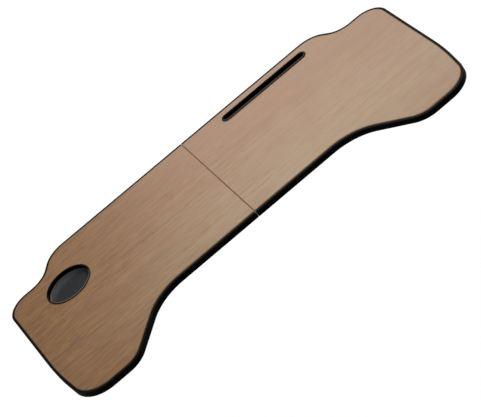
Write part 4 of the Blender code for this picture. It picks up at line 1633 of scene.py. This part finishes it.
@dataclass(frozen=True)
class SoftBox:
    """A rectangular lamp, by the radiance of its face, where 1 looks white."""

    name: str
    place: tuple[float, float, float]
    aim: tuple[float, float, float]
    width: float
    height: float
    radiance: float

    def build(self) -> None:
        """Adds the lamp, unseen by the camera."""
        light = bpy.data.lights.new(self.name, "AREA")
        light.shape = "RECTANGLE"
        light.size = self.width
        light.size_y = self.height
        light.energy = self.radiance * math.pi * self.width * self.height
        lamp = add_object(self.name, light)
        lamp.location = self.place
        lamp.rotation_mode = "QUATERNION"
        lamp.rotation_quaternion = (Vector(self.aim) - Vector(self.place)).to_track_quat("-Z", "Y")
        lamp.visible_camera = False


@dataclass
class Studio:
    """Plain pale studio: a white room, a floor well below the tray and two soft boxes."""

    white: str = "#FFFFFF"
    room_level: float = 0.15
    floor_depth: float = 0.4
    floor_half: float = 6.0
    floor_colour: str = "#F4F4F4"
    floor_glow: float = 0.92
    floor_strength: float = 1.04
    key: SoftBox = SoftBox("top_soft_box", (0.12, -0.05, 0.6), (0.12, -0.05, 0.0), 0.5, 0.5, 2.72)
    back: SoftBox = SoftBox("back_soft_box", (1.07, 2.08, 1.36), (0.25, 0.0, 0.0), 2.3, 1.3, 7.2)

    def build(self) -> None:
        """Builds the room, the floor and the lamps."""
        self.room()
        self.floor()
        self.key.build()
        self.back.build()

    def seen(self, tree: NodeTree) -> Node:
        """Marks the rays that show the background: the camera's, and those in metal and glass.

        Args:
            tree: Node tree of the world or of a material.

        Returns:
            Node that gives 1 for such a ray and 0 for any other.
        """
        rays = add_node(tree, "LightPath", {}).outputs
        either = rays["Is Camera Ray"]
        for ray in ("Is Glossy Ray", "Is Transmission Ray"):
            either = add_node(tree, "Math", {0: either, 1: rays[ray]}, operation="MAXIMUM")
        return either

    def room(self) -> None:
        """Makes the room white to look at, and a plain level as light."""
        world = bpy.data.worlds.new("white_room")
        world.use_nodes = True
        tree = world.node_tree
        lift = {0: self.seen(tree), 1: 1 - self.room_level, 2: self.room_level}
        strength = add_node(tree, "Math", lift, operation="MULTIPLY_ADD").outputs[0]
        background = tree.nodes["Background"]
        background.inputs["Color"].default_value = linear(self.white)
        tree.links.new(strength, background.inputs["Strength"])
        bpy.context.scene.world = world

    def floor(self) -> None:
        """Lays a pale floor that keeps the tray's shadow, and that can be looked through from below."""
        mesh = bpy.data.meshes.new("floor")
        mesh.from_pydata(rectangle(self.floor_half, self.floor_half, -self.floor_depth), [], [(0, 1, 2, 3)])
        paint = bpy.data.materials.new("white_painted_floor")
        paint.use_nodes = True
        tree = paint.node_tree
        tree.nodes.clear()
        matt = add_node(tree, "BsdfDiffuse", {"Color": self.floor_colour})
        glow = add_node(tree, "Emission", {"Color": self.white, "Strength": self.floor_strength})
        share = add_node(tree, "Math", {0: self.seen(tree), 1: self.floor_glow}, operation="MULTIPLY")
        top = add_node(tree, "MixShader", {0: share, 1: matt, 2: glow})
        clear = add_node(tree, "BsdfTransparent", {})
        below = add_node(tree, "NewGeometry", {}).outputs["Backfacing"]
        surface = add_node(tree, "MixShader", {0: below, 1: top, 2: clear})
        add_node(tree, "OutputMaterial", {"Surface": surface})
        mesh.materials.append(paint)
        add_object("floor", mesh)


@dataclass
class PhotoCamera:
    """The camera at the photograph's viewing angle, aimed at a point on the tray's top."""

    azimuth: float = math.radians(-5.6512)
    elevation: float = math.radians(32.7835)
    roll: float = math.radians(-37.0858)
    aim: tuple[float, float, float] = (-10.49 * MM, -61.07 * MM, 17.3 * MM)
    distance: float = 2396.64 * MM
    lens: float = 132.962
    sensor: float = 36.0
    nearest: float = 0.05
    farthest: float = 50.0

    def build(self) -> None:
        """Adds the camera and makes it the scene's."""
        flat = math.cos(self.elevation)
        turn = Vector((math.sin(self.azimuth), -math.cos(self.azimuth)))
        back = Vector((*turn * flat, math.sin(self.elevation)))
        level = Vector((math.cos(self.azimuth), math.sin(self.azimuth), 0))
        right = level * math.cos(self.roll) + back.cross(level) * math.sin(self.roll)
        turn = Matrix((right, back.cross(right), back)).transposed()
        data = bpy.data.cameras.new("photo_camera")
        data.lens = self.lens
        data.sensor_width = self.sensor
        data.clip_start = self.nearest
        data.clip_end = self.farthest
        camera = add_object("photo_camera", data)
        camera.matrix_world = Matrix.Translation(Vector(self.aim) + back * self.distance) @ turn.to_4x4()
        bpy.context.scene.camera = camera


def screw_nodes(side: Side) -> list[str]:
    """Names of the CAD's screws in one half."""
    return [name for name in frame["record"]["behaviour"]["bodies"][side.body] if "_screw_" in name]


def main() -> None:
    """Builds the tray's pieces, the studio and the camera in order."""
    wood = WoodGrainMelamine()
    plastic = MouldedPolypropylene()
    rubber = MouldedRubber()
    across = ZincPlatedSteel(name="zinc_plated_steel_rolled", lines=Lines.ALONG_Y)
    along = ZincPlatedSteel(name="zinc_plated_steel_drawn", lines=Lines.ALONG_X)
    turned_steel = ZincPlatedSteel(name="zinc_plated_steel_turned", lines=Lines.TURNED)
    cup = CupWell(plastic)
    slot = SlotLiner(plastic)
    openings = {Side.LEFT: cup.opening(), Side.RIGHT: slot.opening()}
    for side in Side:
        HalfBoard(side, openings[side], screw_nodes(side), wood, plastic).build()
        Feet(side, rubber, turned_steel).build()
    cup.build()
    slot.build()
    for label in ("back", "front"):
        ButtHinge(label, across, turned_steel).build()
    SlideLock(along, across, turned_steel).build()
    Studio().build()
    PhotoCamera().build()
    bpy.context.scene.view_settings.view_transform = "Standard"


if __name__ == "__main__":
    logging.basicConfig(level=logging.INFO, format="%(message)s")
    main()
